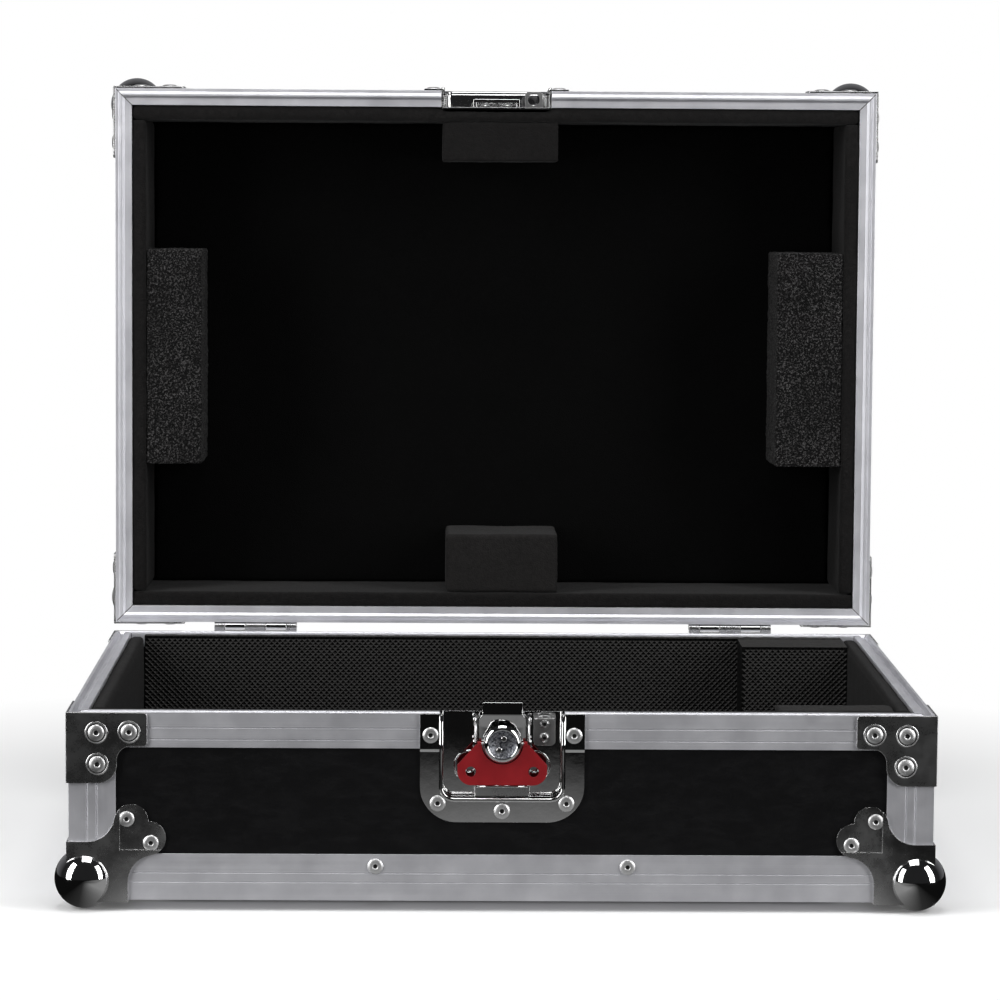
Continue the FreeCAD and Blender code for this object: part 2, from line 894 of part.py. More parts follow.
def block_footprints():
    """Room in the board pad for the base's two blocks."""
    low = PANEL_BACK - size("base_height") - OVERRUN
    return base_blocks("footprint", low, low + size("pad_thick") + OVERRUN * 2)


def make_foam_blocks():
    """Two blocks that leave a cable space beside the player, and the lid's four hold-down blocks."""
    low = PANEL_BACK - size("base_height")
    for foam, name in zip(base_blocks("foam", low, -size("liner_drop")), ("rear", "front")):
        keep(foam, "base_%s_block" % name, "base")
    right = HALF_WIDE - LINER_BACK
    deep = HALF_DEEP - LINER_BACK
    low = PANEL_BACK + size("pad_thick") - size("lid_height")
    top = -size("lid_block_drop")
    half_long = size("lid_side_block_long") / 2
    left_block = block(
        "lid_left_block_foam",
        (-right, -half_long, low),
        (size("lid_left_block_wide") - right, half_long, top),
    )
    keep(left_block, "lid_left_block", "lid")
    right_block = block(
        "lid_right_block_foam",
        (right - size("lid_right_block_wide"), -half_long, low),
        (right, half_long, top),
    )
    keep(right_block, "lid_right_block", "lid")
    shift = size("lid_block_shift")
    half_long = size("lid_front_block_long") / 2
    front_hold = block(
        "lid_front_block_foam",
        (shift - half_long, -deep, low),
        (shift + half_long, size("lid_front_block_deep") - deep, top),
    )
    keep(front_hold, "lid_front_block", "lid")
    half_long = size("lid_rear_block_long") / 2
    rear_hold = block(
        "lid_rear_block_foam",
        (shift * 2 - half_long, deep - size("lid_rear_block_deep"), low),
        (shift * 2 + half_long, deep, top),
    )
    keep(rear_hold, "lid_rear_block", "lid")


# Stop hinges

def knuckles(name, spans, plate_side):
    """Rolled knuckles at spans from the hinge's middle, each with its web to the leaf."""
    parts = []
    rise = size("barrel_rise")
    radius = size("barrel_radius")
    place = HINGE_PLACE
    for number, (first, last) in enumerate(spans):
        label = "%s_%d" % (name, number)
        start = first - place
        length = as_size(last) - first
        parts.append(rod(label, (start, HINGE_Y, rise), radius, length, "x"))
        edge = rise + (radius + size("leaf_relief")) * plate_side
        low = edge if plate_side < 0 else rise
        high = rise if plate_side < 0 else edge
        web = block(
            label + "_web",
            (start, HALF_DEEP + size("rim_gap"), low),
            (start + length, HALF_DEEP + size("leaf_thick"), high),
        )
        parts.append(web)
    return parts


def make_hinges():
    """Two five-knuckle hinges; ears on the outer knuckles catch the lid's leaf and stop the lid."""
    half = size("hinge_width") / 2
    end = size("hinge_end")
    middle = half - end
    gap = size("knuckle_gap")
    place = HINGE_PLACE
    rise = size("barrel_rise")
    radius = size("barrel_radius")
    relief = size("leaf_relief")
    leaf = size("leaf_height")
    thick = size("leaf_thick")
    inner = middle / 3
    bore = rod(
        "hinge_bore",
        (-half - place - OVERRUN, HINGE_Y, rise),
        size("hinge_pin_radius") + size("running_clear"),
        half * 2 + OVERRUN * 2,
        "x",
    )
    low_plate = block(
        "hinge_base_plate",
        (-half - place, HALF_DEEP, -leaf),
        (half - place, HALF_DEEP + thick, rise - radius - relief),
    )
    base_spans = [(-half, -middle), (-inner, inner), (middle, half)]
    ears = [
        block(
            "hinge_ear%d" % number,
            (first - place, HINGE_Y, rise - size("stop_height") / 2),
            (as_size(last) - place, HINGE_Y + size("stop_reach"), rise + size("stop_height") / 2),
        )
        for number, (first, last) in enumerate((base_spans[0], base_spans[2]))
    ]
    base_leaf = fuse("hinge_base", low_plate, *knuckles("hinge_base", base_spans, -1), *ears)
    base_leaf = cut("hinge_base", base_leaf, bore)
    pair = group("hinge_base_pair", base_leaf, mirror("hinge_base", base_leaf, ACROSS))
    keep(pair, "hinge_base_leaves", "base")
    pin = rod(
        "hinge_pin",
        (-half - place, HINGE_Y, rise),
        size("hinge_pin_radius"),
        half * 2,
        "x",
    )
    keep(group("hinge_pin_pair", pin, mirror("hinge_pin", pin, ACROSS)), "hinge_pins", "base")
    high_plate = block(
        "hinge_lid_plate",
        (-half - place, HALF_DEEP, rise + radius + relief),
        (half - place, HALF_DEEP + thick, rise + leaf),
    )
    lid_spans = [(gap - middle, -inner - gap), (inner + gap, middle - gap)]
    lid_bore = rod(
        "hinge_lid_bore",
        (-half - place - OVERRUN, HINGE_Y, rise),
        size("hinge_pin_radius") + size("running_clear"),
        half * 2 + OVERRUN * 2,
        "x",
    )
    lid_leaf = fuse("hinge_lid", high_plate, *knuckles("hinge_lid", lid_spans, 1))
    lid_leaf = cut("hinge_lid", lid_leaf, lid_bore)
    lid_pair = group("hinge_lid_pair", lid_leaf, mirror("hinge_lid", lid_leaf, ACROSS))
    lowered = group("hinge_lid_lowered", lid_pair)
    move(lowered, 0, 0, -size("rim_gap"))
    keep(mirror("hinge_lid_turned", lowered, UPRIGHT), "hinge_lid_leaves", "lid")


# Latch

def rounded_panel(name, plane, half_wide, low, high, bend, start, length):
    """A plate on a main plane with its two lower corners rounded."""
    corners = [
        (-half_wide, high),
        (-half_wide, low + bend, bend, 1),
        (bend - half_wide, low),
        (half_wide - bend, low, bend, 1),
        (half_wide, low + bend),
        (half_wide, high),
    ]
    return prism(name, plane, corners, start, length)


def make_dish(half):
    """Half of the pressed latch dish: a flange stepped off the rim, and a cup open at the rim."""
    name = half + "_dish"
    flange_half = size("dish_flange_wide") / 2
    flange_low = -size("dish_flange_high")
    step_top = -size("rim_leg") - size("joggle_clear")
    step_low = step_top - size("joggle_fall")
    offset = WALL - SHEET
    sheet_line = [
        (front(-SHEET), 0),
        (front(-SHEET), step_top),
        (front(offset), step_low),
        (front(offset), flange_low),
        (front(WALL), flange_low),
        (front(WALL), step_low),
        (-HALF_DEEP, step_top),
        (-HALF_DEEP, 0),
    ]
    pressed = prism(name + "_sheet", "YZ", sheet_line, -flange_half, flange_half * 2)
    blank = rounded_panel(
        name + "_blank",
        "XZ",
        flange_half,
        flange_low,
        0,
        size("dish_flange_round"),
        front(-SHEET - OVERRUN),
        SHEET + WALL + OVERRUN * 2,
    )
    flange = common(name + "_flange", pressed, blank)
    cup_half = size("dish_wide") / 2
    cup_low = -size("dish_high")
    deep = size("dish_deep")
    shell = rounded_panel(
        name + "_shell",
        "XZ",
        cup_half + SHEET,
        cup_low - SHEET,
        0,
        size("dish_round") + SHEET,
        front(offset),
        deep + SHEET - offset,
    )
    hollow = rounded_panel(
        name + "_hollow",
        "XZ",
        cup_half,
        cup_low,
        OVERRUN,
        size("dish_round"),
        front(-SHEET - OVERRUN),
        deep + SHEET + OVERRUN,
    )
    tools = [hollow]
    if half == "base":
        shaft_hole = rod(
            name + "_shaft_hole",
            (0, front(deep - OVERRUN), -size("hub_drop")),
            size("hub_shaft_radius") + size("running_clear"),
            SHEET + OVERRUN * 2,
            "y",
        )
        tools.append(shaft_hole)
    keep(cut(name, fuse(name, flange, shell), *tools), half + "_latch_dish", half)


def make_guide():
    """Channel on the dish floor that the hook slides in, with a folded foot."""
    half = size("guide_wide") / 2
    deep = size("dish_deep")
    back = front(deep)
    top = -size("guide_top")
    low = -size("guide_bottom")
    fold = front(deep - size("guide_deep"))
    floor = block("guide_floor", (-half, front(deep - SHEET), low), (half, back, top))
    sides = [
        block(
            "guide_side%d" % side,
            (side * half if side < 0 else half - SHEET, fold, low),
            (SHEET - half if side < 0 else half, back, top),
        )
        for side in (-1, 1)
    ]
    lip_face = front(deep - size("guide_lip_deep"))
    foot = block("guide_foot", (-half, lip_face, low), (half, back, low + SHEET))
    lip = block("guide_lip", (-half, lip_face, low), (half, lip_face + SHEET, low + size("guide_lip")))
    hole = rod(
        "guide_hole",
        (0, fold, -size("hub_drop")),
        size("hub_shaft_radius") + size("running_clear"),
        size("guide_deep") + OVERRUN,
        "y",
    )
    keep(cut("guide", fuse("guide", floor, *sides, foot, lip), hole), "latch_guide", "base")


def make_hub():
    """Turned hub: domed disc, neck with a cross bore, eccentric cam, shaft and peened tail."""
    drop = -size("hub_drop")
    face = front(-size("hub_proud"))
    disc = size("hub_disc_radius")
    bevel = size("hub_bevel")
    thick = size("hub_disc_thick")
    cam_start = size("cam_start") + size("hub_proud")
    outline = [
        (0, 0),
        (0, disc - bevel),
        (bevel, disc),
        (thick, disc),
        (thick, size("hub_neck_radius")),
        (cam_start, size("hub_neck_radius")),
        (cam_start, 0),
    ]
    head = spun("hub_head", outline, (0, face, drop), "V_Axis")
    cam = rod(
        "hub_cam",
        (0, front(size("cam_start")), drop + size("cam_throw")),
        size("cam_radius"),
        size("cam_thick"),
        "y",
    )
    shaft_start = size("cam_start") + size("cam_thick")
    tail = size("dish_deep") + SHEET + size("running_clear")
    shaft = rod(
        "hub_shaft",
        (0, front(shaft_start), drop),
        size("hub_shaft_radius"),
        tail - shaft_start,
        "y",
    )
    end = rod("hub_tail", (0, front(tail), drop), size("hub_tail_radius"), size("hub_tail_thick"), "y")
    pin_deep = front(size("wing_thick") / 2 - size("wing_proud"))
    bore = rod(
        "hub_bore",
        (-disc, pin_deep, drop),
        size("wing_pin_radius") + size("running_clear"),
        disc * 2,
        "x",
    )
    keep(cut("hub", fuse("hub", head, cam, shaft, end), bore), "latch_hub", "base")
    ear = size("wing_ear_half")
    pin = rod("wing_pin", (-ear, pin_deep, drop), size("wing_pin_radius"), ear * 2, "x")
    keep(pin, "latch_wing_pin", "base")


def make_wing():
    """Fold-down wing: a plate notched round the hub, with two finger holes and an eye on each ear."""
    drop = -size("hub_drop")
    ear = size("wing_ear_half")
    top = drop + size("wing_ear_rise")
    half = size("wing_half")
    bend = size("wing_round")
    outline = [
        (-ear, top),
        (-half, drop - size("wing_shoulder")),
        (-half, drop - size("wing_elbow"), bend, 1),
        (-size("wing_foot_half"), drop - size("wing_foot")),
        (size("wing_foot_half"), drop - size("wing_foot"), bend, 1),
        (half, drop - size("wing_elbow")),
        (half, drop - size("wing_shoulder")),
        (ear, top),
    ]
    thick = size("wing_thick")
    face = front(-size("wing_proud"))
    plate = prism("wing_plate", "XZ", outline, face, thick)
    reach = thick + OVERRUN * 2
    notch = rod("wing_notch", (0, face - OVERRUN, drop), size("wing_notch_radius"), reach, "y")
    hole_drop = drop - size("wing_hole_drop")
    holes = [
        rod(
            "wing_hole%d" % side,
            (side * size("wing_hole_place"), face - OVERRUN, hole_drop),
            size("wing_hole_radius"),
            reach,
            "y",
        )
        for side in (-1, 1)
    ]
    pin_deep = face + thick / 2
    start = size("wing_notch_radius") + size("wing_eye_gap")
    eyes = [
        rod("wing_eye0", (-ear, pin_deep, drop), size("wing_eye_radius"), ear - start, "x"),
        rod("wing_eye1", (start, pin_deep, drop), size("wing_eye_radius"), ear - start, "x"),
    ]
    bore = rod(
        "wing_bore",
        (-ear - OVERRUN, pin_deep, drop),
        size("wing_pin_radius") + size("running_clear"),
        (ear + OVERRUN) * 2,
        "x",
    )
    solid = cut("wing_plate", plate, notch, *holes)
    keep(cut("wing", fuse("wing", solid, *eyes), bore), "latch_wing", "base")


def make_hook():
    """Pressed hook: a flat with the cam's window, a lean forward and a lip over the keeper."""
    deep = size("hook_deep")
    lean = deep - size("hook_lean")
    rise = size("hook_rise")
    lip = lean + size("hook_lip")
    low = -size("hook_foot")
    bend_low = -size("hook_bend_low")
    bend_high = -size("hook_bend_high")
    line = [
        (front(deep), low),
        (front(deep + SHEET), low),
        (front(deep + SHEET), bend_low),
        (front(lean + SHEET), bend_high),
        (front(lean + SHEET), rise - SHEET),
        (front(lip), rise - SHEET),
        (front(lip), rise),
        (front(lean), rise),
        (front(lean), bend_high),
        (front(deep), bend_low),
    ]
    half = size("hook_wide") / 2
    tip = size("hook_tip_wide") / 2
    pressed = prism("hook_line", "YZ", line, -half, half * 2)
    shoulder = -size("hook_shoulder")
    blank_line = [
        (-half, low),
        (half, low),
        (half, shoulder),
        (tip, 0),
        (tip, rise),
        (-tip, rise),
        (-tip, 0),
        (-half, shoulder),
    ]
    blank = prism("hook_blank", "XZ", blank_line, front(-OVERRUN), size("dish_deep") + OVERRUN)
    window_half = size("hook_window_wide") / 2
    window_high = size("cam_radius") + size("cam_clear")
    middle = size("cam_throw") - size("hub_drop")
    window = block(
        "hook_window",
        (-window_half, front(deep - OVERRUN), middle - window_high),
        (window_half, front(deep + SHEET + OVERRUN), middle + window_high),
    )
    keep(cut("hook", common("hook", pressed, blank), window), "latch_hook", "base")


def make_keeper():
    """Staple in the lid's dish: two legs and a bar that the hook's lip draws down on."""
    half = size("keeper_wide") / 2
    deep = size("dish_deep")
    bar = size("keeper_bar_deep")
    back = bar + size("keeper_bar_thick")
    leg = half - size("keeper_leg")
    high = size("keeper_bar_high")
    outline = [
        (-half, front(bar)),
        (half, front(bar)),
        (half, front(deep)),
        (leg, front(deep)),
        (leg, front(back)),
        (-leg, front(back)),
        (-leg, front(deep)),
        (-half, front(deep)),
    ]
    staple = prism("keeper_staple", "XY", outline, -high, high)
    low = -size("keeper_foot")
    foot = block("keeper_foot", (-half, front(deep - SHEET), low), (half, front(deep), -high))
    keep(fuse("keeper", staple, foot), "latch_keeper", "lid")


def padlock_tab(name, wide_share, foot, top, thick):
    """A strap on the dish floor beside the guide, folded forward into a tab with the padlock's hole."""
    guide_half = size("guide_wide") / 2
    room = size("dish_wide") / 2 - guide_half
    wide = room * wide_share
    half = wide / 2
    place = guide_half + room * size("padlock_place_share")
    deep = size("dish_deep")
    bend = size("padlock_round")
    tab_outline = [
        (place - half, front(deep)),
        (place - half, front(size("padlock_front") + bend), bend, 1),
        (place - half + bend, front(size("padlock_front"))),
        (place + half - bend, front(size("padlock_front")), bend, 1),
        (place + half, front(size("padlock_front") + bend)),
        (place + half, front(deep)),
    ]
    tab = prism(name + "_tab", "XY", tab_outline, top - thick, thick)
    left = place - half
    right = place + half
    strap_outline = [
        (left, top),
        (left, bend - foot, bend, 1),
        (left + bend, -foot),
        (right - bend, -foot, bend, 1),
        (right, bend - foot),
        (right, top),
    ]
    strap = prism(name + "_strap", "XZ", strap_outline, front(deep - SHEET), SHEET)
    hole = rod(
        name + "_hole",
        (place, front(size("padlock_hole_deep")), top - thick - OVERRUN),
        size("padlock_radius"),
        thick + OVERRUN * 2,
        "z",
    )
    return cut(name, fuse(name, tab, strap), hole)


def make_padlock_tabs():
    strap = padlock_tab(
        "padlock_strap",
        size("strap_wide_share"),
        size("strap_foot"),
        -size("strap_tab_drop"),
        size("strap_tab_thick"),
    )
    keep(strap, "base_padlock_tab", "base")
    lid_wide = size("lid_tab_wide_share")
    lid_tab = padlock_tab("lid_tab", lid_wide, size("lid_tab_foot"), as_size(0) * SHEET, SHEET)
    keep(lid_tab, "lid_padlock_tab", "lid")


# Side handles

def make_handle_dishes():
    """A pressed dish let into each end of the base, with a bearing hole in each end wall for the bail."""
    high = HANDLE_FLANGE / 2
    middle = HANDLE_MIDDLE
    bend = size("handle_flange_round")
    cup = size("handle_wide") / 2
    flange = cup + size("handle_flange_side")
    cup_high = HANDLE_HALF
    cup_bend = size("handle_round")
    deep = size("handle_deep")
    seat = WALL - SHEET

    def rounded(name, half_wide, half_high, radius, start, length):
        corners = [
            (radius - half_wide, middle - half_high),
            (half_wide - radius, middle - half_high, radius, 1),
            (half_wide, middle - half_high + radius),
            (half_wide, middle + half_high - radius, radius, 1),
            (half_wide - radius, middle + half_high),
            (radius - half_wide, middle + half_high, radius, 1),
            (-half_wide, middle + half_high - radius),
            (-half_wide, middle - half_high + radius, radius, 1),
        ]
        return prism(name, "YZ", corners, start - HALF_WIDE, length)

    plate = rounded("handle_plate", flange, high, bend, seat, SHEET)
    outer = [edge + SHEET for edge in (cup, cup_high, cup_bend)]
    shell = rounded("handle_shell", *outer, seat, deep + SHEET - seat)
    hollow = rounded("handle_hollow", cup, cup_high, cup_bend, seat - OVERRUN, deep + OVERRUN - seat)
    through = cup + SHEET + OVERRUN
    bearing = rod(
        "handle_bearing",
        (size("bail_deep") - HALF_WIDE, -through, BAIL_TOP),
        size("bail_radius") + size("running_clear"),
        through * 2,
        "y",
    )
    dish = cut("handle_dish", fuse("handle_dish", plate, shell), hollow, bearing)
    keep(dish, "left_handle_dish", "base")
    keep(mirror("right_handle_dish", dish, ACROSS), "right_handle_dish", "base")


# Quarter turns about X, from straight up to the front and from straight down to the back
BENDS = {
    "upper": Rotation(UPRIGHT, -ALONG, ACROSS, "XYZ"),
    "lower": Rotation(-UPRIGHT, ALONG, ACROSS, "XYZ"),
}


def quarter_bend(name, y, z, role):
    """A quarter of a ring, as the bail's rod bends round (y, z)."""
    ring = doc.addObject("Part::Torus", name)
    ring.Placement = Placement(Vector(), BENDS[role])
    ring.Angle3 = 90
    tie(ring, "Radius1", size("bail_bend"))
    tie(ring, "Radius2", size("bail_radius"))
    move(ring, size("bail_deep") - HALF_WIDE, y, z)
    return ring


def bent_bail(name):
    """The bail's rod: a U with its tails turned out through the dish's end walls."""
    radius = size("bail_radius")
    half = size("bail_half")
    bend = size("bail_bend")
    x = size("bail_deep") - HALF_WIDE
    tail = rod(name + "_tail", (x, half + bend, BAIL_TOP), radius, size("bail_tail") - bend, "y")
    upright_low = BAIL_LOW + bend
    upright_long = BAIL_TOP - bend - upright_low
    upright = rod(name + "_upright", (x, half, upright_low), radius, upright_long, "z")
    upper = quarter_bend(name + "_upper", half + bend, BAIL_TOP - bend, "upper")
    lower = quarter_bend(name + "_lower", half - bend, upright_low, "lower")
    arm = fuse(name + "_arm", tail, upper, upright, lower)
    bar = rod(name + "_bar", (x, bend - half, BAIL_LOW), radius, (half - bend) * 2, "y")
    return fuse(name, arm, mirror(name + "_arm", arm, ALONG), bar)


def make_bails():
    """Steel bail and rubber grip of each handle."""
    half = size("grip_long") / 2
    inset = size("grip_round")
    radius = size("grip_radius")
    outline = [
        (0, 0),
        (0, radius - inset),
        (inset, radius),
        (half * 2 - inset, radius),
        (half * 2, radius - inset),
        (half * 2, 0),
    ]
    for side, word in ((-1, "left"), (1, "right")):
        bail = bent_bail(word + "_bail")
        x = size("bail_deep") - HALF_WIDE
        grip_body = spun(word + "_grip", outline, (x, -half, BAIL_LOW), "V_Axis")
        bore = rod(
            word + "_grip_bore",
            (x, -half - OVERRUN, BAIL_LOW),
            size("bail_radius"),
            half * 2 + OVERRUN * 2,
            "y",
        )
        grip = cut(word + "_grip", grip_body, bore)
        if side > 0:
            bail = mirror(word + "_bail", bail, ACROSS)
            grip = mirror(word + "_grip", grip, ACROSS)
        keep(bail, word + "_handle_bail", "base")
        keep(grip, word + "_handle_grip", "base")


for half_name in ("base", "lid"):
    make_panels(half_name)
    make_edging(half_name)
    make_rims(half_name)
    make_rim_brackets(half_name)
    make_ball_corners(half_name)
    make_foam(half_name)
    make_dish(half_name)
make_foam_blocks()
make_hinges()
make_guide()
make_hub()
make_wing()
make_hook()
make_keeper()
make_padlock_tabs()
make_handle_dishes()
make_bails()

doc.recompute()
for thing in doc.Objects:
    if "Invalid" in thing.State or "Error" in thing.State:
        raise RuntimeError("%s did not build: %s" % (thing.Label, thing.State))

os.makedirs("parts", exist_ok=True)
for piece in pieces:
    shape = piece.Shape
    if shape.isNull() or not shape.isValid() or not shape.Solids:
        raise RuntimeError("%s has no valid solid" % piece.Label)
    shape.exportStep("parts/%s.step" % piece.Label)
print("wrote %d parts" % len(pieces))
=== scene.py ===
"""Looks of the disc player's flight case: metal, laminate, foam and rivets round its solids."""

import bpy
import bmesh
import math
import random
from mathutils import Matrix, Vector, noise


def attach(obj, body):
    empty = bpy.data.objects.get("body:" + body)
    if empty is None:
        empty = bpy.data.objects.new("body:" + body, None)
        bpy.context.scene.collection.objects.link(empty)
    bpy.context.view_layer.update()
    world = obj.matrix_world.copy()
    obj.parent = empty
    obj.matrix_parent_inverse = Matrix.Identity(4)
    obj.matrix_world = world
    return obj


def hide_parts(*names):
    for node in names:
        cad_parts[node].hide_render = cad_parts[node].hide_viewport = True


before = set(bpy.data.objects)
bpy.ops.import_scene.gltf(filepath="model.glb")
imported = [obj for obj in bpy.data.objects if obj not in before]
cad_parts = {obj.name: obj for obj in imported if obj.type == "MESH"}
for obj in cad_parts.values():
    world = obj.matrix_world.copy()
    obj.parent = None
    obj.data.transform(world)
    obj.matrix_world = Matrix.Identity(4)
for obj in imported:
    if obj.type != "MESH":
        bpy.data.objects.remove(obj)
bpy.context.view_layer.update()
random.seed(7)

# The case's own sizes in millimetres, as the solids have them
MM = 0.001
HALF_WIDE = 276.0
HALF_DEEP = 194.0
RIM_HIGH = 127.9
LID_HIGH = 128.2
HINGE = Vector((0.0, 197.5, 130.9))
LID_ANGLE = math.radians(91.5)
HEIGHTS = {"base": 121.0, "lid": 103.0}
EDGING_LEG = 30.0
STRAP_FACE = -183.2
HUB_DROP = 19.1
HANDLE_MIDDLE = -56.75
BAIL_DEEP = 8.0
BAIL_LOW = -10.0
GRIP_LONG = 84.0


# Placing pieces

def half_matrix(half):
    """From a half's own frame, rim plane at z = 0 and shell below it, to the part's in metres."""
    if half == "base":
        return Matrix.Scale(MM, 4) @ Matrix.Translation((0, 0, RIM_HIGH))
    flip = Matrix.Scale(-1, 4, (0, 0, 1))
    hinge = Matrix.Translation(HINGE)
    turn = hinge @ Matrix.Rotation(-LID_ANGLE, 4, "X") @ hinge.inverted()
    return Matrix.Scale(MM, 4) @ turn @ Matrix.Translation((0, 0, LID_HIGH)) @ flip


PLACES = {half: half_matrix(half) for half in HEIGHTS}


def new_object(name, data):
    """An object in the scene that shows a mesh, a lamp or a camera."""
    made = bpy.data.objects.new(name, data)
    bpy.context.scene.collection.objects.link(made)
    return made


def add_piece(name, bm, half, body, materials, flat=False):
    """A mesh made in a half's frame becomes a piece that rides on a body."""
    bmesh.ops.transform(bm, matrix=PLACES[half], verts=bm.verts)
    if PLACES[half].determinant() < 0:
        bmesh.ops.reverse_faces(bm, faces=bm.faces)
    mesh = bpy.data.meshes.new(name)
    bm.to_mesh(mesh)
    bm.free()
    for face in mesh.polygons:
        face.use_smooth = not flat
    for material in materials:
        mesh.materials.append(material)
    piece = new_object(name, mesh)
    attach(piece, body)
    return piece


WELD_GAP = 0.000004
FLAT_WITHIN = math.radians(0.6)
SHARP_FROM = math.radians(30)


def round_edges(piece, width, smooth):
    """Rolls the sharp edges of a sheet or extrusion, and keeps its flats flat."""
    weld = piece.modifiers.new("weld", "WELD")
    weld.merge_threshold = WELD_GAP
    flats = piece.modifiers.new("flats", "DECIMATE")
    flats.decimate_type = "DISSOLVE"
    flats.angle_limit = FLAT_WITHIN
    bevel = piece.modifiers.new("edges", "BEVEL")
    bevel.width = width * MM
    bevel.segments = 2
    bevel.limit_method = "ANGLE"
    bevel.angle_limit = SHARP_FROM
    bevel.use_clamp_overlap = True
    if smooth:
        weighted = piece.modifiers.new("shading", "WEIGHTED_NORMAL")
        weighted.weight = 90


# Materials

# Streaks along a half's bars: how much they are drawn out, then, in metres, half the dark line
# of a mitre, the metal's skin and how far the rim's leg reaches down
SQUEEZE = 0.002
MITRE_HALF = 0.00035
SKIN = 0.0006
RIM_LEG = 0.0228


class Nodes:
    """Short words for building the node tree of a material or a world."""

    def __init__(self, owner):
        owner.use_nodes = True
        self.owner = owner
        self.tree = owner.node_tree

    @property
    def shader(self):
        return self.tree.nodes["Principled BSDF"]

    def link(self, source, target):
        self.tree.links.new(source, target)

    def feed(self, socket, value):
        """Puts another node's output, a colour or a number into a socket."""
        if isinstance(value, bpy.types.NodeSocket):
            self.link(value, socket)
        elif socket.type == "RGBA":
            socket.default_value = (*value, 1.0)
        else:
            socket.default_value = value

    def add(self, kind, **settings):
        """A node with its inputs and properties set; an underscore stands for a space."""
        node = self.tree.nodes.new("ShaderNode" + kind)
        for key, value in settings.items():
            word = key.replace("_", " ")
            if word in node.inputs:
                self.feed(node.inputs[word], value)
            else:
                setattr(node, key, value)
        return node

    def set(self, **values):
        """Inputs of the material's own shader."""
        for key, value in values.items():
            self.feed(self.shader.inputs[key.replace("_", " ")], value)

    def own_place(self):
        return self.add("TexCoord").outputs["Object"]

    def place(self, scale=(1.0, 1.0, 1.0)):
        return self.add("Mapping", Vector=self.own_place(), Scale=scale).outputs["Vector"]

    def split(self, vector):
        return self.add("SeparateXYZ", Vector=vector).outputs

    def facing(self):
        """Which way a face looks, by axis."""
        return self.split(self.add("TexCoord").outputs["Normal"])

    def math(self, operation, *values):
        step = self.add("Math", operation=operation)
        for socket, value in zip(step.inputs, values):
            self.feed(socket, value)
        return step.outputs["Value"]

    def times(self, vector, scale):
        step = self.add("VectorMath", operation="MULTIPLY")
        self.feed(step.inputs[0], vector)
        self.feed(step.inputs[1], scale)
        return step.outputs["Vector"]

    def length(self, vector):
        step = self.add("VectorMath", operation="LENGTH")
        self.feed(step.inputs[0], vector)
        return step.outputs["Value"]

    def half_place(self, half):
        """Coordinates in a half's own frame, in metres from its rim plane."""
        mapping = self.add("Mapping", Vector=self.own_place())
        if half == "base":
            mapping.inputs["Location"].default_value = (0.0, 0.0, -RIM_HIGH * MM)
            return mapping.outputs["Vector"]
        closed = Matrix.Rotation(LID_ANGLE, 3, "X")
        offset = (HINGE - closed @ HINGE - Vector((0.0, 0.0, LID_HIGH))) * MM
        mapping.inputs["Rotation"].default_value = (LID_ANGLE, 0.0, 0.0)
        mapping.inputs["Location"].default_value = offset
        return mapping.outputs["Vector"]

    def along_bars(self, half):
        """Coordinates squeezed along whichever bar a point is on, and where the mitres are."""
        place = self.half_place(half)
        split = self.split(place)
        x, y, z = (self.math("ABSOLUTE", split[axis]) for axis in "XYZ")
        ends = self.math("SUBTRACT", HALF_WIDE * MM, x)
        fronts = self.math("SUBTRACT", HALF_DEEP * MM, y)
        on_end = self.math("LESS_THAN", ends, fronts)
        apart = self.math("ABSOLUTE", self.math("SUBTRACT", ends, fronts))
        inside = self.math("GREATER_THAN", ends, SKIN)
        mitre = self.math("MULTIPLY", self.math("LESS_THAN", apart, MITRE_HALF), inside)
        high = self.math("GREATER_THAN", z, RIM_LEG)
        low = self.math("LESS_THAN", z, (HEIGHTS[half] - EDGING_LEG) * MM)
        upright = self.math("MULTIPLY", high, low)
        wide, deep, tall = (
            self.times(place, scale)
            for scale in ((SQUEEZE, 1.0, 1.0), (1.0, SQUEEZE, 1.0), (1.0, 1.0, SQUEEZE))
        )
        level = self.blend("VECTOR", on_end, wide, deep)
        return self.blend("VECTOR", upright, level, tall), mitre

    def blend(self, kind, factor, first, second):
        """Mixes two vectors or two colours: the node has a set of sockets for each kind."""
        node = self.add("Mix", data_type=kind, Factor=factor)
        for key, value in (("A", first), ("B", second)):
            self.feed([s for s in node.inputs if s.name == key and s.type == kind][0], value)
        return [s for s in node.outputs if s.type == kind][0]

    def mix(self, factor, first, second):
        return self.blend("RGBA", factor, first, second)

    def mix_shaders(self, factor, first, second):
        node = self.add("MixShader", Fac=factor)
        self.link(first, node.inputs[1])
        self.link(second, node.inputs[2])
        return node.outputs["Shader"]

    def noise(self, vector, scale, detail=4.0, roughness=0.6):
        node = self.add("TexNoise", Vector=vector, Scale=scale, Detail=detail, Roughness=roughness)
        return node.outputs["Fac"]

    def ramp(self, factor, *stops):
        """Runs from one colour to another between two places."""
        node = self.add("ValToRGB", Fac=factor)
        for element, (place, colour) in zip(node.color_ramp.elements, stops):
            element.position = place
            element.color = (*colour, 1.0)
        return node.outputs["Color"]

    def span(self, factor, low, high, start=0.0, end=1.0):
        """Stretches what lies from start to end over low to high."""
        node = self.add(
            "MapRange", Value=factor, From_Min=start, From_Max=end, To_Min=low, To_Max=high
        )
        return node.outputs["Result"]

    def bump(self, height, strength, distance, under=None):
        node = self.add("Bump", Height=height, Strength=strength, Distance=distance)
        if under is not None:
            self.link(under, node.inputs["Normal"])
        return node.outputs["Normal"]


def new_material(name):
    return Nodes(bpy.data.materials.new(name))


def grey(value):
    return (value, value, value)


STREAK_LIGHT = (0.9, 0.9, 0.93)
MITRE_DARK = (0.035, 0.028, 0.02)


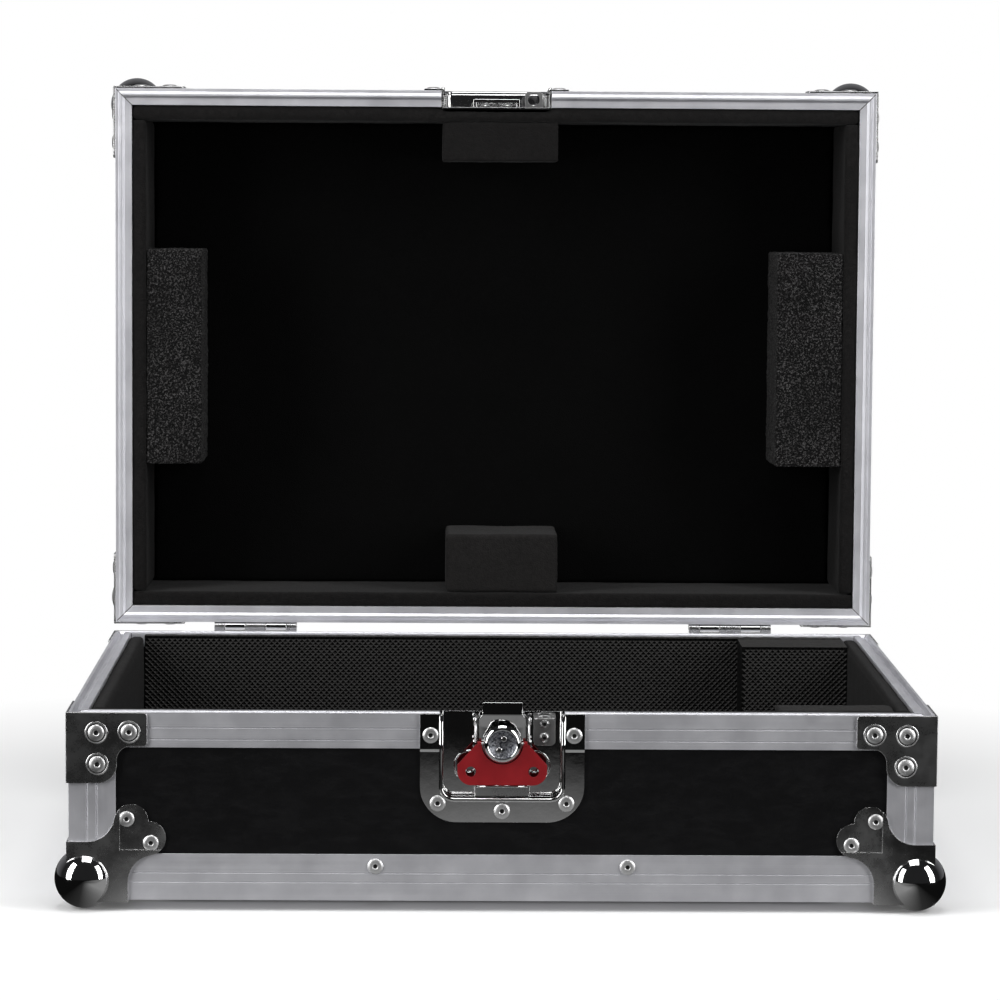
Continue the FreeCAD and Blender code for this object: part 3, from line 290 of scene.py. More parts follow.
def metal(name, light, dark, gloss, smudge, dents=0.0, streak=None):
    """Bare or plated metal: fine grain, or streaks along a half's bars, smudges and dents."""
    nodes = new_material(name)
    even = nodes.place()
    if streak:
        grain, mitre = nodes.along_bars(streak)
        fine = nodes.noise(grain, 1500.0, 3.0)
    else:
        fine = nodes.noise(even, 900.0, 5.0)
    clouds = nodes.noise(even, 38.0, 4.0, 0.65)
    colour = nodes.mix(nodes.span(clouds, 0.0, 1.0, 0.35, 0.7), dark, light)
    if streak:
        lines = nodes.mix(nodes.span(fine, 0.0, 0.35, 0.5, 0.75), colour, STREAK_LIGHT)
        colour = nodes.mix(mitre, lines, MITRE_DARK)
    rough = nodes.math(
        "ADD",
        nodes.span(clouds, gloss - smudge * 0.5, gloss + smudge, 0.3, 0.75),
        nodes.span(fine, -0.03, 0.03, 0.3, 0.7),
    )
    nodes.set(Base_Color=colour, Metallic=1.0, Roughness=rough)
    normal = nodes.bump(fine, 0.08 if streak else 0.04, 0.0002)
    if dents:
        normal = nodes.bump(nodes.noise(even, 95.0, 2.0), dents, 0.0012, normal)
    nodes.set(Normal=normal)
    return nodes.owner


LAMINATE_DARK = (0.0034, 0.0034, 0.0037)
LAMINATE_SCUFFED = (0.0058, 0.0058, 0.0062)
PLY_GLUE = (0.13, 0.045, 0.014)
PLY_WOOD = (0.36, 0.17, 0.065)
GAP_HALF = 0.05


def laminate():
    """Black laminate over ply: leathery grain, faint scuffs, ply layers on the gaps' cut edges."""
    nodes = new_material("black_laminate")
    even = nodes.place()
    grain = nodes.noise(even, 1500.0, 3.0, 0.5)
    scuffs = nodes.noise(nodes.place((1.0, 1.0, 2.4)), 60.0, 8.0, 0.75)
    scuffed = nodes.span(scuffs, 0.0, 1.0, 0.45, 0.75)
    face = nodes.mix(scuffed, LAMINATE_DARK, LAMINATE_SCUFFED)
    layers = nodes.add(
        "TexWave", wave_type="BANDS", bands_direction="Y", Vector=even, Scale=110.0, Distortion=1.5
    )
    ply = nodes.ramp(layers.outputs["Fac"], (0.2, PLY_GLUE), (0.75, PLY_WOOD))
    end_on = nodes.math("GREATER_THAN", nodes.math("ABSOLUTE", nodes.facing()["X"]), 0.9)
    near = nodes.math("LESS_THAN", nodes.math("ABSOLUTE", nodes.split(even)["X"]), GAP_HALF)
    nodes.set(
        Base_Color=nodes.mix(nodes.math("MULTIPLY", end_on, near), face, ply),
        Roughness=nodes.span(scuffs, 0.42, 0.56, 0.35, 0.7),
        Specular_IOR_Level=0.1,
        Normal=nodes.bump(grain, 0.22, 0.0003),
    )
    return nodes.owner


def foam(name, dark, light, cell, speck, contrast, pits, sheen=0.04, painted_top_light=None, shift=0.0):
    """Open-cell foam: cells that catch the light, dark pits, clouds, and painted light on what
    faces up.
    """
    nodes = new_material(name)
    even = nodes.place()
    cells = nodes.add("TexVoronoi", feature="F1", Vector=even, Scale=cell)
    fine = nodes.noise(even, speck, 3.0, 0.7)
    clouds = nodes.noise(even, 26.0, 4.0)
    bright = nodes.span(fine, 0.0, 1.0, 0.5 - contrast + shift, 0.5 + contrast + shift)
    lit = nodes.mix(bright, dark, light)
    colour = nodes.mix(nodes.span(clouds, 0.0, 0.55, 0.3, 0.8), lit, dark)
    # Painted light: what faces up takes a lighter colour, as if lit from above.
    if painted_top_light:
        upward = nodes.span(nodes.facing()["Z"], 0.0, 1.0, 0.1, 0.5)
        colour = nodes.mix(upward, colour, painted_top_light)
    nodes.set(Base_Color=colour, Roughness=0.95, Specular_IOR_Level=0.1)
    nodes.set(Sheen_Weight=sheen, Sheen_Roughness=0.5)
    normal = nodes.bump(cells.outputs["Distance"], pits, 0.0009)
    nodes.set(Normal=nodes.bump(fine, pits * 0.6, 0.0006, normal))
    return nodes.owner


ENAMEL_DARK = (0.152, 0.0043, 0.0066)
ENAMEL_LIGHT = (0.187, 0.0056, 0.0084)


def enamel():
    """Red enamel with a slight orange-peel."""
    nodes = new_material("red_enamel")
    even = nodes.place()
    clouds = nodes.noise(even, 90.0, 3.0)
    nodes.set(
        Base_Color=nodes.mix(nodes.span(clouds, 0.0, 1.0, 0.35, 0.7), ENAMEL_DARK, ENAMEL_LIGHT),
        Roughness=nodes.span(clouds, 0.33, 0.45),
        Specular_IOR_Level=0.18,
        Normal=nodes.bump(nodes.noise(even, 620.0, 2.0), 0.10, 0.0004),
    )
    return nodes.owner


def rubber():
    """Fine matt rubber of the side handles' grips."""
    nodes = new_material("grip_rubber")
    fine = nodes.noise(nodes.place(), 800.0)
    nodes.set(
        Base_Color=nodes.mix(fine, grey(0.012), grey(0.026)),
        Roughness=nodes.span(fine, 0.6, 0.8),
        Normal=nodes.bump(fine, 0.2, 0.0003),
    )
    return nodes.owner


def speckled():
    """Cast face of the hub: bright specks on a dark mottled ground."""
    nodes = new_material("speckled_face")
    specks = nodes.noise(nodes.place(), 950.0, 6.0, 0.8)
    colour = nodes.ramp(specks, (0.44, (0.03, 0.033, 0.045)), (0.58, (0.42, 0.43, 0.46)))
    nodes.set(Base_Color=colour, Metallic=1.0, Roughness=0.34)
    nodes.set(Normal=nodes.bump(specks, 0.55, 0.0005))
    return nodes.owner


def painted_rivet_shade():
    """Painted shade for a rivet's hollow and for the gap round a seated rivet's head."""
    nodes = new_material("rivet_painted_shade")
    fine = nodes.noise(nodes.place(), 500.0)
    nodes.set(Base_Color=nodes.mix(fine, grey(0.012), grey(0.04)), Roughness=0.6, Metallic=0.6)
    return nodes.owner


BARE_LIGHT = (0.85, 0.85, 0.885)
BARE_DARK = (0.77, 0.77, 0.81)
ALUMINIUM = {
    half: metal(half + "_aluminium", BARE_LIGHT, BARE_DARK, gloss=0.55, smudge=0.06, streak=half)
    for half in HEIGHTS
}
CHROME = metal("chrome", grey(0.72), grey(0.62), gloss=0.05, smudge=0.03, dents=0.03)
PLATED = metal("plated_steel", grey(0.62), grey(0.5), gloss=0.27, smudge=0.08, dents=0.04)
SATIN = metal("satin_plate", grey(0.68), grey(0.54), gloss=0.24, smudge=0.12, dents=0.05)
DULL_STEEL = metal("dull_steel", grey(0.5), grey(0.38), gloss=0.44, smudge=0.1, dents=0.05)
RIVET = metal("rivet_aluminium", grey(0.82), grey(0.72), gloss=0.43, smudge=0.08, dents=0.03)
RIVET_SHADE = painted_rivet_shade()
LAMINATE = laminate()
RED = enamel()
RUBBER = rubber()
SPECKLED = speckled()
FOAM_SMOOTH = foam(
    "foam_smooth", (0.0066, 0.0062, 0.006), (0.017, 0.016, 0.0156),
    cell=900.0, speck=420.0, contrast=0.22, pits=0.35,
)
FOAM_LINER = foam(
    "foam_liner", (0.0037, 0.0035, 0.0035), (0.0094, 0.0087, 0.0085),
    cell=800.0, speck=330.0, contrast=0.2, pits=0.4,
)
# The pyramid foam's up-facing facets take a painted light colour.
FOAM_PYRAMID = foam(
    "foam_pyramid", grey(0.001), grey(0.0025),
    cell=1100.0, speck=600.0, contrast=0.25, pits=0.3, sheen=0.0, painted_top_light=(0.034, 0.0332, 0.0324),
)
FOAM_COARSE = foam(
    "foam_coarse", (0.0025, 0.0024, 0.0024), (0.06, 0.058, 0.058),
    cell=620.0, speck=760.0, contrast=0.06, pits=1.0, shift=0.07,
)
FELT = foam(
    "felt_pad", grey(0.0003), grey(0.0012),
    cell=1400.0, speck=950.0, contrast=0.12, pits=0.5, sheen=0.0,
)


# Solids that keep their shape: finish and rolled edges, by the end of the node's name

FINISHES = {
    "panel": (LAMINATE, 0.25),
    "edging": (ALUMINIUM, 0.15),
    "_rim": (ALUMINIUM, 0.15),
    "rim_brackets": (PLATED, 0.45),
    "ball_corners": (SATIN, 0.4),
    "latch_dish": (CHROME, 0.5),
    "latch_guide": (PLATED, 0.3),
    "latch_hub": (CHROME, 0.3),
    "latch_wing_pin": (CHROME, 0.1),
    "latch_wing": (RED, 0.35),
    "latch_hook": (CHROME, 0.4),
    "latch_keeper": (CHROME, 0.45),
    "padlock_tab": (DULL_STEEL, 0.4),
    "hinge_base_leaves": (PLATED, 0.3),
    "hinge_lid_leaves": (CHROME, 0.3),
    "hinge_pins": (CHROME, 0.2),
    "handle_dish": (PLATED, 0.45),
    "handle_bail": (CHROME, 0.1),
}

for node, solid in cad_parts.items():
    for ending, (material, width) in FINISHES.items():
        if not node.endswith(ending):
            continue
        smooth = material is not ALUMINIUM and material is not LAMINATE
        if material is ALUMINIUM:
            material = ALUMINIUM[node.split("_")[0]]
        solid.data.materials.clear()
        solid.data.materials.append(material)
        for face in solid.data.polygons:
            face.use_smooth = smooth
        round_edges(solid, width, smooth)


# Shapes

def revolve(bm, centre, axis, profile, segments, materials=None, wave=None):
    """Spins (radius, height) points about an axis through centre; heights run along the axis."""
    turn = Vector((0, 0, 1)).rotation_difference(Vector(axis)).to_matrix()
    rings = []
    for radius, height in profile:
        if not radius:
            rings.append([bm.verts.new(Vector(centre) + turn @ Vector((0, 0, height)))])
            continue
        ring = []
        for step in range(segments):
            angle = math.tau * step / segments
            reach = radius + (wave(step, height) if wave else 0.0)
            point = Vector((math.cos(angle) * reach, math.sin(angle) * reach, height))
            ring.append(bm.verts.new(Vector(centre) + turn @ point))
        rings.append(ring)
    for index, (low, high) in enumerate(zip(rings, rings[1:])):
        for step in range(segments):
            after = (step + 1) % segments
            corners = [low[step % len(low)], low[after % len(low)]]
            corners += [high[after % len(high)], high[step % len(high)]]
            corners = list(dict.fromkeys(corners))
            if len(corners) < 3:
                continue
            face = bm.faces.new(corners)
            face.material_index = materials[index] if materials else 0


def tube(bm, points, radius, segments, closed=False):
    """A round bar along points, with flat ends unless it closes on itself."""
    rings = []
    count = len(points)
    for index, point in enumerate(points):
        before = points[(index - 1) % count] if closed or index else point
        after = points[(index + 1) % count] if closed or index < count - 1 else point
        along = (Vector(after) - Vector(before)).normalized()
        side = along.cross(Vector((0, 1, 0))).normalized()
        up = side.cross(along)
        ring = []
        for step in range(segments):
            angle = math.tau * step / segments
            spoke = side * math.cos(angle) + up * math.sin(angle)
            ring.append(bm.verts.new(Vector(point) + spoke * radius))
        rings.append(ring)
    pairs = list(zip(rings, rings[1:])) + ([(rings[-1], rings[0])] if closed else [])
    for low, high in pairs:
        for step in range(segments):
            after = (step + 1) % segments
            bm.faces.new([low[step], low[after], high[after], high[step]])
    if not closed:
        bm.faces.new(list(reversed(rings[0])))
        bm.faces.new(rings[-1])


# Rivets. Profiles are (radius, height); the numbers beside them pick each band's material

FLAT_HEAD = [
    (5.4, 0.0), (5.35, 0.4), (4.95, 0.85), (4.1, 1.25), (3.1, 1.5),
    (2.2, 1.55), (1.75, 1.35), (1.45, 0.9), (1.3, 0.2), (0, 0.1),
]
# Band material 1 is painted shade in the rivet's hollow.
FLAT_PARTS = [0, 0, 0, 0, 0, 0, 0, 1, 1]
SEAT_RING = [(5.2, 0.03), (6.1, 0.04), (6.5, 0.3), (6.9, 0.38), (7.3, 0.02)]
# The seat's first band, the gap round the head, takes material 1: painted shade.
SEAT_PARTS = [1, 0, 0, 2]
CONE_HEAD = [(3.4, 0.0), (3.3, 0.3), (2.4, 1.0), (1.7, 1.5), (1.1, 1.55), (0.8, 0.9), (0, 0.8)]
# The cone head's dimple takes material 1: painted shade.
CONE_PARTS = [2, 2, 2, 2, 1, 1]

# Places from a corner or a face, in millimetres
BRACKET_PAIRS = ((17.9, 13.0), (38.7, 12.5), (18.5, 33.2))
LOBE_PAIRS = ((36.9, 52.3), (52.3, 36.9))
LOBE_SIZE = 0.94
EDGING_LONG = 80.6
EDGING_SHORT = 52.0
EDGING_IN = 22.3
DISH_SIZE = 0.96
HINGE_X = 174
HINGE_DROP = {"base": -12.0, "lid": -15.0}
TAB_X = 27.0
TAB_DROPS = {"base": (7.9, 16.8), "lid": (8.5, 17.0)}
KEEPER_PLACES = {"base": (), "lid": ((-8.0, 11.0), (8.0, 11.0))}


def rivet(bm, place, normal, size, seat):
    """Blind rivet: domed flange, a hollow painted dark as shade and, on a bracket, a pressed seat
    round it whose inner gap is painted shade.
    """
    head = [(radius * size, height * size) for radius, height in FLAT_HEAD]
    revolve(bm, place, normal, head, 28, FLAT_PARTS)
    if seat:
        revolve(bm, place, normal, SEAT_RING, 40, SEAT_PARTS)


def rivet_places(half):
    """Every rivet head of a half: place, outward direction, size, seat."""
    high = HEIGHTS[half]
    places = []

    def add(x, y, z, normal, size, seat=False):
        places.append(((x, y, z), normal, size, seat))

    for sx in (-1, 1):
        end = sx * HALF_WIDE
        for sy in (-1, 1):
            front = sy * HALF_DEEP
            for along, down in BRACKET_PAIRS:
                add(sx * (HALF_WIDE - along), sy * (HALF_DEEP + 1.5), -down, (0, sy, 0), 1.0, True)
                add(sx * (HALF_WIDE + 1.5), sy * (HALF_DEEP - along), -down, (sx, 0, 0), 1.0, True)
            for along, up in LOBE_PAIRS:
                x, y = sx * (HALF_WIDE - along), sy * (HALF_DEEP - along)
                add(x, front, up - high, (0, sy, 0), LOBE_SIZE)
                add(end, y, up - high, (sx, 0, 0), LOBE_SIZE)
                add(x, sy * (HALF_DEEP - up), -high, (0, 0, -1), LOBE_SIZE)
        for sy in (-1, 1):
            x, y = sx * EDGING_LONG, sy * EDGING_SHORT
            add(x, sy * HALF_DEEP, EDGING_IN - high, (0, sy, 0), LOBE_SIZE)
            add(x, sy * (HALF_DEEP - EDGING_IN), -high, (0, 0, -1), LOBE_SIZE)
            add(end, y, EDGING_IN - high, (sx, 0, 0), LOBE_SIZE)
            add(sx * (HALF_WIDE - EDGING_IN), y, -high, (0, 0, -1), LOBE_SIZE)
        add(sx * 45.7, -HALF_DEEP - 1.2, -13.7, (0, -1, 0), DISH_SIZE)
        add(sx * 41.1, -HALF_DEEP + 0.3, -57.8, (0, -1, 0), DISH_SIZE)
        for step in (-20, 0, 20):
            add(sx * HINGE_X + step, HALF_DEEP + 1.5, HINGE_DROP[half], (0, 1, 0), 0.62)
        if half == "base":
            for along in (-68.5, 68.5):
                for up in (-20, 20):
                    add(sx * (HALF_WIDE - 0.3), along, HANDLE_MIDDLE + up, (sx, 0, 0), 0.9)
    add(0, -HALF_DEEP + 0.3, -62.7, (0, -1, 0), DISH_SIZE)
    return places


for half in HEIGHTS:
    bm = bmesh.new()
    for place, normal, size, seat in rivet_places(half):
        rivet(bm, place, normal, size, seat)
    cones = [(TAB_X, down) for down in TAB_DROPS[half]] + list(KEEPER_PLACES[half])
    for x, down in cones:
        revolve(bm, (x, STRAP_FACE, -down), (0, -1, 0), CONE_HEAD, 20, CONE_PARTS)
    add_piece(half + "_rivets", bm, half, half, [RIVET, RIVET_SHADE, PLATED])


# Balls of the corner hardware

BALL_RADIUS = 19.47
BALL_IN = Vector((9.5, 9.5, 12.5))
BALL_SUNK = 0.6


def ball_skins(half):
    """A finely divided skin over each corner's ball, open where the ball meets the shell."""
    bm = bmesh.new()
    high = HEIGHTS[half]
    for sx in (-1, 1):
        for sy in (-1, 1):
            made = bmesh.ops.create_icosphere(bm, subdivisions=5, radius=BALL_RADIUS)["verts"]
            spare = []
            for vert in made:
                near = vert.co + BALL_IN
                if min(near) > BALL_SUNK:
                    spare.append(vert)
                    continue
                vert.co = (sx * (near.x - HALF_WIDE), sy * (near.y - HALF_DEEP), near.z - high)
            bmesh.ops.delete(bm, geom=spare, context="VERTS")
            if sx * sy < 0:
                mirrored = []
                for face in bm.faces:
                    corner = face.verts[0].co
                    if corner.x * sx > 0 and corner.y * sy > 0:
                        mirrored.append(face)
                bmesh.ops.reverse_faces(bm, faces=mirrored)
    return bm


for half in HEIGHTS:
    add_piece(half + "_balls", ball_skins(half), half, half, [CHROME])


# Rolled lip and pressed rings of the latch dish

LIP_WIDE = 38.9
LIP_LOW = -55.6
LIP_BEND = 8.0
RIM_STEP = 22.8


def dish_lip(half):
    """The lip runs down both sides and across, and steps back below the rim extrusion."""
    bm = bmesh.new()
    outline = [(-LIP_WIDE, -0.6)]
    outline += [(-LIP_WIDE, LIP_LOW + LIP_BEND + step) for step in (24.0, 16.0, 8.0, 0.0)]
    for angle in (0.3, 0.6, 0.9, 1.2, 1.5708):
        x = -LIP_WIDE + LIP_BEND - LIP_BEND * math.cos(angle)
        outline.append((x, LIP_LOW + LIP_BEND - LIP_BEND * math.sin(angle)))
    outline += [(x, LIP_LOW) for x in (-20.0, 0.0, 20.0)]
    outline += [(-x, z) for x, z in reversed(outline[:-3])]
    points = []
    for x, z in outline:
        fall = min(max((-z - RIM_STEP) / 1.8, 0.0), 1.0)
        points.append((x, -HALF_DEEP - 1.0 + 1.5 * fall, z))
    tube(bm, points, 1.45, 12)
    return bm


def floor_rings():
    """Pressed rings in the dish's floor behind the wing's two holes."""
    bm = bmesh.new()
    for x in (-20.7, 20.7):
        for radius, thick in ((9.8, 0.7), (3.9, 0.55)):
            points = []
            for step in range(48):
                angle = math.tau * step / 48
                across, up = radius * math.cos(angle), radius * math.sin(angle)
                points.append((x + across, -HALF_DEEP + 12.1, -35.5 + up))
            tube(bm, points, thick, 10, closed=True)
    return bm


for half in HEIGHTS:
    add_piece(half + "_dish_lip", dish_lip(half), half, half, [CHROME])
add_piece("base_dish_rings", floor_rings(), "base", "base", [CHROME])


# Hub cap, guide's eyelets and roll

HUB_FACE = -HALF_DEEP - 3.2
CAP_PROFILE = [
    (12.12, -1.7), (12.35, -1.5), (12.35, -0.5), (12.05, -0.1), (11.35, 0.5),
    (10.3, 1.5), (9.75, 1.72), (9.35, 1.6), (9.15, 1.25), (0, 1.25),
]
CAP_PARTS = [0, 0, 0, 0, 0, 0, 0, 0, 1]
SMALL_HEAD = [
    (1.95, 0.0), (1.9, 0.35), (1.5, 0.62), (1.1, 0.62), (0.85, 0.3), (0.4, 0.25), (0, 0.3),
]
# The small rivets' hollows take material 2: painted shade.
SMALL_PARTS = [0, 0, 0, 2, 2, 0]


def hub_cap():
    """Bevelled ring round a flat face, a fine knurl under the rim and two small hollow rivets
    whose hollows are painted shade.
    """
    bm = bmesh.new()

    def knurl(step, height):
        return 0.0 if height > 0.3 or step % 2 else -0.25

    centre = (0, HUB_FACE, -HUB_DROP)
    revolve(bm, centre, (0, -1, 0), CAP_PROFILE, 144, CAP_PARTS, knurl)
    for x, z in ((0.9, -15.4), (-2.1, -22.8)):
        revolve(bm, (x, HUB_FACE - 1.24, z), (0, -1, 0), SMALL_HEAD, 24, SMALL_PARTS)
    return bm


add_piece("latch_hub_cap", hub_cap(), "base", "latch_hub", [CHROME, SPECKLED, RIVET_SHADE])


def guide_rolls():
    """Small rolled eyelets at the guide's flanges and the roll across its foot."""
    bm = bmesh.new()
    for side in (-1, 1):
        for top in (-2.6, -17.0):
            eyelet = [(side * 17.6, -HALF_DEEP + 3.6, top - drop) for drop in (0.0, 1.6, 3.2, 4.8)]
            tube(bm, eyelet, 1.25, 14)
        edge = [(side * 17.1, -HALF_DEEP + 2.7, z) for z in (-4.0, -20.0, -36.0, -53.0)]
        tube(bm, edge, 0.55, 10)
    tube(bm, [(x, -HALF_DEEP + 1.9, -47.0) for x in (-16.4, 0.0, 16.4)], 0.9, 14)
    return bm


add_piece("latch_guide_rolls", guide_rolls(), "base", "base", [CHROME])


# Ribbed grips of the side handles

RIBS = 15
RIB_PITCH = 82.0 / RIBS
RIB_TOP = 6.95
RIB_FOOT = 6.35


def grip(side):
    """A sleeve on the bail with flat ribs round it."""
    bm = bmesh.new()
    profile = [(3.05, 0.0), (5.4, 0.0), (6.4, 0.6)]
    for rib in range(RIBS):
        start = 1.0 + rib * RIB_PITCH
        profile += [(RIB_TOP, start + 0.5), (RIB_TOP, start + RIB_PITCH - 2.0)]
        profile += [(RIB_FOOT, start + RIB_PITCH - 1.4), (RIB_FOOT, start + RIB_PITCH - 0.4)]
    profile += [(6.4, GRIP_LONG - 0.6), (5.4, GRIP_LONG), (3.05, GRIP_LONG)]
    foot = (side * (HALF_WIDE - BAIL_DEEP), -GRIP_LONG / 2, HANDLE_MIDDLE + BAIL_LOW)
    revolve(bm, foot, (0, 1, 0), profile, 36)
    return bm


for side, word in ((-1, "left"), (1, "right")):
    piece = add_piece(word + "_grip", grip(side), "base", word + "_handle", [RUBBER])
    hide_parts(word + "_handle_grip")


# Foam

def soften(vector, size, seed):
    """A smooth unevenness from about -1 to 1."""
    return noise.noise(vector * size + Vector((seed, seed * 2.3, 0)))


def foam_copy(node, body, material, cell, rough, lump):
    """A foam piece in its solid's own space: corners rounded by the cutter, faces uneven."""
    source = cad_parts[node]
    shape = new_object(node + "_raw", source.data.copy())
    shape.matrix_world = source.matrix_world
    weld = shape.modifiers.new("weld", "WELD")
    weld.merge_threshold = 0.00001
    remesh = shape.modifiers.new("cells", "REMESH")
    remesh.mode = "VOXEL"
    remesh.voxel_size = cell * MM
    smooth = shape.modifiers.new("soft", "SMOOTH")
    smooth.factor = 0.5
    smooth.iterations = 2
    depsgraph = bpy.context.evaluated_depsgraph_get()
    made = bpy.data.meshes.new_from_object(shape.evaluated_get(depsgraph))
    bpy.data.objects.remove(shape)
    made.name = node + "_foam"
    seed = (sum(ord(letter) for letter in node) % 89) * 1.7
    normals = [vert.normal.copy() for vert in made.vertices]
    for vert, normal in zip(made.vertices, normals):
        place = vert.co
        fine = soften(place, 420.0, seed) * rough
        broad = soften(place, 42.0, seed + 5.0) * lump
        vert.co = place + normal * ((fine + broad - 0.12) * MM)
    made.materials.clear()
    made.materials.append(material)
    for face in made.polygons:
        face.use_smooth = True
    piece = new_object(node + "_foam", made)
    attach(piece, body)
    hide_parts(node)


# Node, material, cell of the remesh, and how far fine grain and broad lumps reach
for node, material, cell, rough, lump in (
    ("base_board_pad", FELT, 3.0, 0.15, 0.3),
    ("base_front_liner", FOAM_LINER, 2.4, 0.2, 0.35),
    ("base_left_liner", FOAM_LINER, 2.2, 0.25, 0.4),
    ("base_right_liner", FOAM_LINER, 2.2, 0.25, 0.4),
    ("base_front_block", FOAM_SMOOTH, 1.8, 0.3, 0.4),
    ("lid_board_pad", FELT, 3.0, 0.15, 0.4),
    ("lid_front_liner", FOAM_LINER, 2.2, 0.25, 0.4),
    ("lid_rear_liner", FOAM_LINER, 2.2, 0.25, 0.4),
    ("lid_left_liner", FOAM_LINER, 2.2, 0.25, 0.4),
    ("lid_right_liner", FOAM_LINER, 2.2, 0.25, 0.4),
    ("lid_left_block", FOAM_COARSE, 1.2, 0.8, 0.5),
    ("lid_right_block", FOAM_COARSE, 1.2, 0.8, 0.5),
    ("lid_front_block", FOAM_LINER, 1.6, 0.3, 0.4),
    ("lid_rear_block", FOAM_SMOOTH, 1.6, 0.3, 0.4),
):
    foam_copy(node, node.split("_")[0], material, cell, rough, lump)


PIT_WIDE = 2.0
PIT_HIGH = 1.98
PIT_DEEP = 1.5
LAYER_DEEP = 2.2


def pyramid_face(bm, low, high, dice):
    """Staggered diamonds over the front; gives back the loop of points round its edge."""
    across = max(2, round((high[0] - low[0]) / PIT_WIDE))
    upward = max(2, round((high[2] - low[2]) / PIT_HIGH))
    grid = []
    for column in range(across + 1):
        line = []
        for row in range(upward + 1):
            x = low[0] + (high[0] - low[0]) * column / across
            z = low[2] + (high[2] - low[2]) * row / upward
            edge = column in (0, across) or row in (0, upward)
            pit = (column + row) % 2 == 0 and not edge
            depth = PIT_DEEP if pit else 0.0
            if not edge:
                x += dice.uniform(-0.08, 0.08)
                z += dice.uniform(-0.08, 0.08)
                depth += dice.uniform(-0.1, 0.1)
            line.append(bm.verts.new((x, low[1] + depth, z)))
        grid.append(line)
    for column in range(across):
        for row in range(upward):
            a, b = grid[column][row], grid[column + 1][row]
            c, d = grid[column + 1][row + 1], grid[column][row + 1]
            if (column + row) % 2 == 0:
                bm.faces.new([a, b, d])
                bm.faces.new([b, c, d])
            else:
                bm.faces.new([a, b, c])
                bm.faces.new([a, c, d])
    loop = [grid[column][0] for column in range(across)]
    loop += [grid[across][row] for row in range(upward)]
    loop += [grid[column][upward] for column in range(across, 0, -1)]
    loop += [grid[0][row] for row in range(upward, 0, -1)]
    return loop


def pyramid_foam(node, low, high):
    """Foam with a diamond face to the front: low and high are its corners."""
    bm = bmesh.new()
    loop = pyramid_face(bm, low, high, random.Random(len(node)))
    layers = max(3, round((high[1] - low[1]) / LAYER_DEEP))
    rings = [loop]
    for layer in range(1, layers + 1):
        y = low[1] + (high[1] - low[1]) * layer / layers
        ring = []
        for vert in loop:
            lump = soften(Vector((vert.co.x, y, vert.co.z)), 0.24, 3.0) * 0.45
            tuck = 0.6 if layer == layers else 0.0
            x = vert.co.x + (tuck if vert.co.x < (low[0] + high[0]) / 2 else -tuck)
            z = vert.co.z - (lump + tuck * 0.5 if vert.co.z > low[2] + 1 else 0.0)
            ring.append(bm.verts.new((x, y, z)))
        rings.append(ring)
    for near, far in zip(rings, rings[1:]):
        for step in range(len(loop)):
            after = (step + 1) % len(loop)
            bm.faces.new([near[after], near[step], far[step], far[after]])
    bm.faces.new(list(reversed(rings[-1])))
    piece = add_piece(node + "_foam", bm, "base", "base", [FOAM_PYRAMID], flat=True)
    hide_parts(node)


pyramid_foam("base_rear_liner", (-253.4, 171.5, -110.4), (253.4, 181.9, -0.6))
pyramid_foam("base_rear_block", (177.6, 127.5, -110.4), (253.4, 171.3, -0.6))


# Floor, light and camera

# What mirrors find on the floor, which glows for glossy rays only as painted light: a pool under
# the case, a strip in front and the rear
POOL_LIGHT = 0.23
POOL_OUTER = 0.006
STRIP_LIGHT = 0.33
REAR_LIGHT = 0.19


def studio_floor():
    """Pale floor: it keeps the shadow and runs out to white; for glossy rays it glows as painted
    light, mostly dark.
    """
    bm = bmesh.new()
    bmesh.ops.create_grid(bm, x_segments=8, y_segments=8, size=14.0)
    mesh = bpy.data.meshes.new("studio_floor")
    bm.to_mesh(mesh)
    bm.free()
    nodes = new_material("studio_floor")
    nodes.set(Base_Color=grey(0.86), Roughness=0.8, Specular_IOR_Level=0.1)
    sight = nodes.add("LightPath").outputs
    place = nodes.own_place()
    split = nodes.split(place)
    seen = nodes.math("MAXIMUM", sight["Is Camera Ray"], sight["Is Transmission Ray"])
    white = nodes.add("Emission", Strength=1.0).outputs["Emission"]
    far = nodes.span(nodes.length(place), 0.0, 1.0, 0.3, 0.8)
    surface = nodes.shader.outputs["BSDF"]
    to_eye = nodes.mix_shaders(nodes.math("MULTIPLY", far, seen), surface, white)
    # Painted light for mirrors: the floor glows in a pool under the case, a strip in front and
    # towards the rear.
    pool = nodes.add("Mapping", Vector=place, Location=(0.0, 0.4, 0.0), Scale=(4.3, 2.0, 1.0))
    reach = nodes.length(pool.outputs["Vector"])
    under = nodes.span(reach, POOL_LIGHT, POOL_OUTER, 0.55, 1.25)
    beside = nodes.span(nodes.math("ABSOLUTE", split["X"]), 1.0, 0.0, 0.235, 0.275)
    near = nodes.span(split["Y"], 0.0, STRIP_LIGHT, -0.36, -0.24)
    lit = nodes.math("MAXIMUM", under, nodes.math("MULTIPLY", beside, near))
    behind = nodes.span(split["Y"], 0.0, REAR_LIGHT, 0.3, 1.6)
    glow = nodes.math("MAXIMUM", lit, behind)
    mirrored = nodes.add("Emission", Strength=1.0, Color=glow).outputs["Emission"]
    whole = nodes.mix_shaders(sight["Is Glossy Ray"], to_eye, mirrored)
    nodes.link(whole, nodes.tree.nodes["Material Output"].inputs["Surface"])
    mesh.materials.append(nodes.owner)
    floor = new_object("studio_floor", mesh)
    floor.location.z = -0.0002
    return floor


studio_floor()

FILL_COLOUR = (0.97, 0.98, 1.0)
FILL_STRENGTH = 0.34
ROOM_DARK = (0.019, 0.0192, 0.02)
ROOM_PALE = (0.19, 0.19, 0.2)


